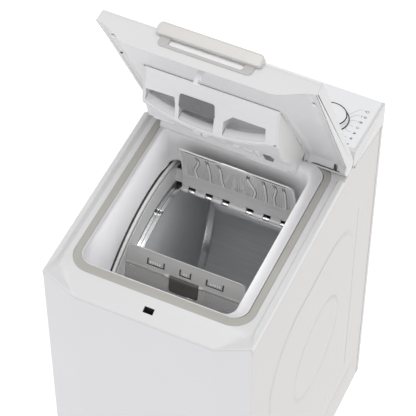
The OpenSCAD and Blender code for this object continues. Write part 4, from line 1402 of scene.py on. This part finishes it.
def console():
    """Console housing with solid cheeks, and the facia panel with its openings."""
    top = lambda y: FACIA_Z - FACIA_FALL * (y - FACIA_Y)
    outline = rounded_path([(147, 883), (147, 913), (152, 925), (302, top(302)), (302, 846.4), (150, 882.6)],
                           [1, 3, 4, 7, 3, 1], 5)
    parts = []
    for s in (-1, 1):
        verts, faces = prism(outline, 197.4, 200, 1.8, 5)
        parts.append(([(s * x, y, z) for x, y, z in verts], faces))
    body = rounded_path([(147, 889.8), (147, 913), (152, 925), (302, top(302)), (302, 846.4), (299, 847.2),
                         (299, 900), (154, 918), (150.5, 889.8)], [0.5, 3, 4, 7, 1, 1, 2, 2, 0.5], 5)
    parts.append(prism(body, -198.4, 198.4, 0.3, 1))
    mesh_object("console_shell", merge(*parts), "console_housing", "white_plastic", 35)
    gaps = [circle(*KNOB, 9, 24)] + [circle(x, BUTTON_Y, 9.6, 36) for x in BUTTONS.values()]
    rim = round_ring(-194.5, 194.5, 158.5, 297.5, 5, 0, 6)
    plate = moved(flat_plate([[(p[0], p[1]) for p in rim]] + gaps, 0.7, 0.35, 2),
                  lambda x, y, h: on_facia(x, y, h + 0.1))
    mesh_object("facia_panel", plate, "console_facia", "facia_white", 35)


def facia_turned(profile, cx, cy, n=72):
    """Turned shape standing on the facia, from (radius, height) points."""
    return topped([[on_facia(x, y, h) for x, y in circle(cx, cy, r, n)] for r, h in profile])


def ring_bead(r, h, tube, cx, cy, n=96):
    """Round bead about a point on the facia."""
    profile = [(r + tube * math.cos(math.radians(a)), h + tube * math.sin(math.radians(a)))
               for a in range(0, 361, 45)]
    return loft([[on_facia(x, y, z) for x, y in circle(cx, cy, q, n)] for q, z in profile])


def knob():
    """Program knob with two dark rings and a pointer."""
    body = [(36.6, 0.85), (36.8, 1.6), (35.4, 2.3), (33.4, 2.5), (33.1, 4), (32.7, 8), (32.3, 10.6),
            (31.8, 11.4), (30.9, 11.9), (29.5, 12.05), (20, 11.8), (8, 11.7), (0.4, 11.7)]
    mesh_object("knob_body", facia_turned(body, *KNOB), "program_knob", "facia_white", 40)
    lines = merge(ring_bead(31.3, 11.7, 1.2, *KNOB), ring_bead(36.4, 1.6, 1.3, *KNOB))
    mesh_object("knob_rings", lines, "program_knob", "dark_plastic", 60)
    pointer = [(-1.1, 18), (1.1, 18), (1.1, 28.5), (-1.1, 28.5)]
    mark = moved(flat_plate([rounded_path(pointer, 1.0, 4)], 0.25, 0.15, 1),
                 lambda x, y, h: on_facia(KNOB[0] - y * 0.94 + x * 0.34,
                                          KNOB[1] + y * 0.34 + x * 0.94, h + 11.95))
    mesh_object("knob_pointer", mark, "program_knob", "dark_plastic", 40)


def buttons():
    """The two press buttons of the console."""
    profile = [(9.2, -4), (9.2, 1.6), (8.9, 2.3), (8.2, 2.7), (6.5, 2.75), (4, 2.4), (0.3, 2.2)]
    for name, x in BUTTONS.items():
        mesh_object(name + "_cap", facia_turned(profile, x, BUTTON_Y, 48), name, "facia_white", 40)


def facia_prints():
    """Generic programme symbols beside the knob, with a thin line from the knob to each."""
    def ring(cx, cy, r0, r1, n=20):
        return [circle(cx, cy, r1, n), circle(cx, cy, r0, n)]

    def bar(x0, y0, x1, y1, w):
        d = Vector((x1 - x0, y1 - y0)).normalized() * w / 2
        return [[(x0 - d.y, y0 + d.x), (x0 + d.y, y0 - d.x), (x1 + d.y, y1 - d.x), (x1 - d.y, y1 + d.x)]]

    ink = []

    def add_ink(outlines, half=0.08):
        ink.append(flat_plate(outlines, half, 0.02, 0))

    for i, y in enumerate(range(260, 163, -16)):
        x = 179.0
        if i == 0:
            add_ink(ring(x + 1, y, 2.3, 3.2))
            add_ink(bar(x - 5.5, y + 1.2, x - 2.5, y - 0.5, 0.8))
        elif i == 1:
            add_ink(bar(x - 4.5, y - 3, x - 4.5, y + 3, 1.0))
            add_ink(ring(x + 2.5, y, 1.9, 2.7))
            add_ink(bar(x + 0.5, y, x + 4.5, y, 0.7))
        elif i == 2:
            add_ink(bar(x - 6, y, x - 3.6, y, 0.9))
            for dx in (-1.6, 0.4, 2.4):
                add_ink(bar(x + dx, y - 2.4, x + dx, y + 2.4, 1.1))
            add_ink(bar(x - 2.2, y, x + 3.2, y, 0.8))
        elif i == 3:
            add_ink(ring(x, y, 2.1, 2.9, 6))
        elif i == 4:
            leaf = [(x - 3, y - 2.6), (x + 2.2, y - 1.6), (x + 3.2, y + 2.4), (x - 1, y + 1.6)]
            add_ink([rounded_path(leaf, 1.2, 4)])
        elif i == 5:
            add_ink(ring(x, y, 0.9, 2.4))
        else:
            add_ink([rounded_path([(x - 3, y + 2.2), (x, y - 2.8), (x + 3, y + 2.2), (x, y + 1.0)], 0.8, 3)])
        a = math.atan2(y - KNOB[1], 50.0)
        x0, y0 = KNOB[0] + 38.5 * math.cos(a * 0.95), KNOB[1] + 38.5 * math.sin(a * 0.95)
        xk = 168.0 if abs(y - KNOB[1]) > 10 else 167
        if i < 6:
            add_ink(bar(x0, y0, xk - 3, y, 0.35), 0.07)
            add_ink(bar(xk - 3, y, xk + 3.5, y, 0.35), 0.07)
    for k in range(13):
        a = math.radians(110 + 12 * k)
        add_ink(bar(KNOB[0] + 38.6 * math.cos(a), KNOB[1] + 38.6 * math.sin(a),
                    KNOB[0] + 41.6 * math.cos(a), KNOB[1] + 41.6 * math.sin(a), 0.6), 0.07)
    for x in BUTTONS.values():
        add_ink(ring(x, 238, 2.4, 3.1))
        add_ink(bar(x, 236.5, x, 240.8, 0.7))
    for k in range(4):
        add_ink(bar(-30 + 14 * k, BUTTON_Y, -24 + 14 * k, BUTTON_Y, 1.6))
    part = moved(merge(*ink), lambda x, y, h: on_facia(x, y, h + 0.86))
    mesh_object("facia_symbols", part, "console_facia", "print_grey", 30)


def cheek_screws():
    """Screw covers on the console's two cheeks."""
    steps = ((2.4, 198.8), (2.4, 199.6), (1.9, 199.8), (0.9, 199.8), (0.8, 199.2))
    parts = []
    for s in (-1, 1):
        for y, z in ((157, 877), (288, 858)):
            parts.append(topped([[(s * x, cy, cz) for cy, cz in circle(y, z, r, 18)] for r, x in steps]))
    mesh_object("console_cheek_screws", merge(*parts), "console_housing", "screw_grey", 40)


# ---------- cabinet panels ----------


def front_path(n=6):
    """Front face from one corner to the other, with softly rounded bends."""
    half = rounded_path([(-HALF_W, CORNER_Y + 2.2), (-HALF_W, CORNER_Y), (-BOW_X, FRONT_Y), (0, FRONT_Y),
                         (0, CORNER_Y + 2.2)], [0, 2.6, 40, 0, 0], n)[:-1]
    if half[-1][0] == 0:
        half.pop()
    mirror = [(-x, y) for x, y in reversed(half)]
    middle = [(x, FRONT_Y) for x in spread(-110, 110, 8)]
    return half + middle + mirror


def front_top(x):
    """Top edge of the front panel, under the deck's skirt."""
    return DIP_Z - 2 + 27 * max(0.0, min(1.0, (abs(x) - BOW_X) / (HALF_W - BOW_X)))


def panel_from_path(name, low, top, node, slot, inward=1.2):
    """Sheet that follows the front, with softly turned upper and lower edges."""
    path = front_path()
    rings = []
    for t, inset in ((0.0, 2.2), (0.002, 0.8), (0.006, 0.0), (0.25, 0), (0.5, 0), (0.75, 0), (0.994, 0),
                     (0.998, 0.8), (1.0, 2.2)):
        ring = []
        for x, y in path:
            z = low + (top(x) - low) * t
            ring.append((x * (1 - inset / 400), y + inset * 0.55, z))
        rings.append(ring)
    obj = mesh_object(name, loft(rings, closed=False), node, slot, 50)
    return thicken(obj, inward, -1.0)


FIELD = (-210, 186, 165, 731)


def rounded_distance(y, z, box, r):
    """Distance to a rounded rectangle's outline, positive inside."""
    cy, cz = (box[0] + box[1]) / 2, (box[2] + box[3]) / 2
    dy = abs(y - cy) - ((box[1] - box[0]) / 2 - r)
    dz = abs(z - cz) - ((box[3] - box[2]) / 2 - r)
    outside = math.hypot(max(dy, 0), max(dz, 0)) + min(max(dy, dz), 0) - r
    return -outside


def side_relief(y, z):
    """How far the side panel stands in from its outermost plane."""
    depth = 1.5
    d = rounded_distance(y, z, FIELD, 128)
    depth -= 1.5 * step(d / 4 + 0.5)
    ring = math.hypot(y - 15, z - 485) - 107
    depth += 1.3 * ridge(ring, 0, 2.6)
    if 180 < z < 712:
        depth += 1.5 * ridge(y, 203, 1.7) * step((z - 180) / 12) * step((712 - z) / 12)
    depth += 1.6 * math.exp(-((z - 128) / 12) ** 2) * step((y + 230) / 60) * step((262 - y) / 40)
    return depth


def fine_range(lo, hi, coarse, spots, fine=1.3, reach=6):
    """Grid lines: coarse everywhere and fine near each spot."""
    lines = set(spread(lo, hi, int((hi - lo) / coarse)))
    for s in spots:
        lines = {v for v in lines if abs(v - s) > reach or v in (lo, hi)}
        count = int(reach / fine)
        lines |= {s + fine * k for k in range(-count, count + 1) if lo < s + fine * k < hi}
    return sorted(lines)


def side_top(y):
    """Top edge of a side panel, which falls towards the rear."""
    return PANEL_TOP if y < 150 else PANEL_TOP - 36 * (y - 150) / 152


def side_panels():
    """Embossed side panels, each with its fold round the rear edge."""
    ys = fine_range(-304, 300.5, 5.0, (FIELD[0], FIELD[1], 203))
    zs = fine_range(0.0, 1.0, 0.0067, ((FIELD[2] - 34) / 847, (FIELD[3] - 34) / 847), 0.0016, 0.008)
    for name, s in (("left", -1), ("right", 1)):
        rings = []
        for t in zs:
            ring = []
            for y in ys:
                z = 34 + (side_top(y) - 34) * t
                edge = min(y + 304, 300.5 - y, (z - 34), side_top(y) - z)
                curl = 1.2 * (1 - step(edge / 2.5)) if edge < 2.5 else 0
                ring.append((s * (HALF_W - 0.55 - side_relief(y, z) - curl), y, z))
            rings.append(ring)
        # the skin and its fold get the darker copy of the white paint: painted shade
        obj = mesh_object("side_skin_" + name, loft(rings, closed=False), "side_panel_" + name,
                          "side_paint", 60)
        thicken(obj, 1.0, 0.0)
        fold = rounded_path([(199.3, 290), (199.3, 300.9), (184, 300.9), (184, 299.7), (198.1, 299.7),
                             (198.1, 290)], [0, 1.6, 0.2, 0.2, 0.6, 0], 4)
        rings = [[(s * x, y, z) for x, y in fold] for z in (36, 240, 440, 640, side_top(300.9) - 0.6)]
        mesh_object("side_fold_" + name, capped(rings), "side_panel_" + name, "side_paint", 40)


def rear_skin():
    """Galvanised rear sheet with stiffening swages and a vent field."""
    xs = spread(-182, 182, 104)
    zs = spread(64, 844, 200)
    holes = ((-120, 250, 14), (120, 250, 14), (-120, 620, 14), (120, 620, 14), (-130, 800, 14.6),
             (130, 780, 12.6), (60, 800, 9))
    verts, faces, index = [], [], {}
    for i, x in enumerate(xs):
        for k, z in enumerate(zs):
            depth = 0.0
            for cz in (160, 330, 500, 690):
                depth += 1.6 * ridge(z, cz, 7) * step((165 - abs(x)) / 10)
            d = rounded_distance(x, z, (-150, 150, 120, 740), 40)
            depth += 1.2 * step(d / 6 + 0.5)
            index[i, k] = len(verts)
            verts.append((x, 298.9 - depth, z))
    for i in range(len(xs) - 1):
        for k in range(len(zs) - 1):
            xm, zm = (xs[i] + xs[i + 1]) / 2, (zs[k] + zs[k + 1]) / 2
            if any(math.hypot(xm - hx, zm - hz) < hr - 2.5 for hx, hz, hr in holes):
                continue
            if abs(xm) < 70 and 712 < zm < 732 and int((zm - 712) / 3.9) % 2 == 0:
                continue
            faces.append((index[i, k], index[i + 1, k], index[i + 1, k + 1], index[i, k + 1]))
    obj = mesh_object("rear_sheet", (verts, faces), "rear_panel", "galvanised", 50)
    thicken(obj, 0.8, 0.0)


def kick():
    """Kick plate with the opening for the filter door, and the door with its finger cup."""
    path = front_path()
    extra = sorted({p[0] for p in path} | {19.0, 131.0})
    cols = []
    for x in extra:
        near = min(path, key=lambda p: abs(p[0] - x))
        cols.append((x, near[1] if abs(near[0] - x) < 0.01 or abs(x) > BOW_X else FRONT_Y))
    rings = [[(x * (1 - inset / 400) if abs(x) > BOW_X else x, y + inset * 0.55, z) for x, y in cols]
             for z, inset in ((34, 2.4), (34.5, 0.8), (36, 0.0), (42, 0), (104.5, 0), (109.5, 0),
                              (111.4, 0.8), (112, 2.4))]

    def flap(i, k):
        return i == 3 and 19 <= cols[k][0] < 131

    obj = mesh_object("kick_panel", loft(rings, closed=False, skip=flap), "kick_plate", "white_plastic",
                      50)
    thicken(obj, 1.6, -1.0)
    door = rounded_path([(20.2, 43), (129.8, 43), (129.8, 103.3), (20.2, 103.3)], 3, 4)
    grip = rounded_path([(62, 92), (88, 92), (88, 99), (62, 99)], 3, 4)
    plate = moved(flat_plate([door, grip], 1.3, 0.7, 3), lambda x, z, h: (x, -315.2 + h, z))
    cup = loft([[(x, -315.0, z) for x, z in grip], [(75 + (x - 75) * 0.93, -312.6, 95.5 + (z - 95.5) * 0.85)
                                                    for x, z in grip]])
    cup = (cup[0], cup[1] + [tuple(range(len(grip), 2 * len(grip)))])
    lugs = [block(24, 32, -314.2, -311, 46, 58, 1), block(118, 126, -314.2, -311, 46, 58, 1)]
    mesh_object("filter_flap", merge(plate, cup, *lugs), "filter_door", "white_plastic", 40)


console()
knob()
buttons()
facia_prints()
cheek_screws()
panel_from_path("front_skin", 113, front_top, "front_panel", "front_paint")
side_panels()
rear_skin()
kick()

# ---------- floor, light and camera ----------


def emission_floor():
    """White floor that glows a little, like a photographer's sweep."""
    mat, _, shader = new_material("studio_floor")
    shader.inputs["Base Color"].default_value = (0.2, 0.2, 0.2, 1)
    shader.inputs["Roughness"].default_value = 1.0
    shader.inputs["Specular IOR Level"].default_value = 0.0
    shader.inputs["Emission Color"].default_value = (1, 1, 1, 1)
    shader.inputs["Emission Strength"].default_value = 1.0
    return mat


def floor():
    """The ground that the machine stands on; not part of the object."""
    bpy.ops.mesh.primitive_plane_add(size=60, location=(0, 1.5, 0))
    obj = bpy.context.object
    obj.name = "studio_floor"
    obj.data.materials.append(emission_floor())


def area_light(name, place, size, power, target=(0, 0, 0.8), spread_deg=180):
    """Rectangular light that faces a point, in metres and watts."""
    data = bpy.data.lights.new(name, "AREA")
    data.spread = math.radians(spread_deg)
    data.shape = "RECTANGLE"
    data.size, data.size_y = size
    data.energy = power
    obj = bpy.data.objects.new(name, data)
    obj.location = place
    direction = Vector(target) - Vector(place)
    obj.rotation_euler = direction.to_track_quat("-Z", "Y").to_euler()
    bpy.context.scene.collection.objects.link(obj)


def studio():
    """Soft studio light, and two small lights inside the well that lift its brightness."""
    world = bpy.data.worlds.new("studio")
    world.use_nodes = True
    world.node_tree.nodes["Background"].inputs["Color"].default_value = (0.985, 0.985, 1.0, 1)
    world.node_tree.nodes["Background"].inputs["Strength"].default_value = 0.60
    bpy.context.scene.world = world
    area_light("key", (-1.5, -2.2, 3.2), (2.0, 2.0), 6)
    area_light("camera_side", (0.9, -1.5, 3.0), (1.8, 1.8), 1.15, (0, 0, 0.75), 90)
    area_light("overhead", (0.1, -0.5, 4.0), (1.6, 1.6), 27)
    area_light("well_fill", (-0.012, -0.055, 0.884), (0.27, 0.30), 0.3, (-0.012, -0.055, 0.4))
    area_light("drum_fill", (-0.008, -0.02, 0.705), (0.20, 0.20), 0.42, (-0.008, 0.0, 0.3))
    bpy.context.scene.view_settings.view_transform = "Standard"


CAM_AZ, CAM_EL, CAM_ROLL = 24.80, 51.22, 0.12
CAM_TARGET = (-0.0634, 0.0856, 0.700)
CAM_DIST = 3.94164
CAM_LENS = 178.82


def camera():
    """The camera of the photograph, fitted to the outline of the machine."""
    az, el = math.radians(CAM_AZ), math.radians(CAM_EL)
    back = Vector((math.sin(az) * math.cos(el), -math.cos(az) * math.cos(el), math.sin(el)))
    data = bpy.data.cameras.new("camera")
    data.lens = CAM_LENS
    data.sensor_width = 36
    data.clip_end = 30
    obj = bpy.data.objects.new("camera", data)
    look = (-back).to_track_quat("-Z", "Y").to_matrix().to_4x4()
    roll = Matrix.Rotation(math.radians(CAM_ROLL), 4, "Z")
    obj.matrix_world = Matrix.Translation(Vector(CAM_TARGET) + back * CAM_DIST) @ look @ roll
    bpy.context.scene.collection.objects.link(obj)
    bpy.context.scene.camera = obj


floor()
studio()
camera()
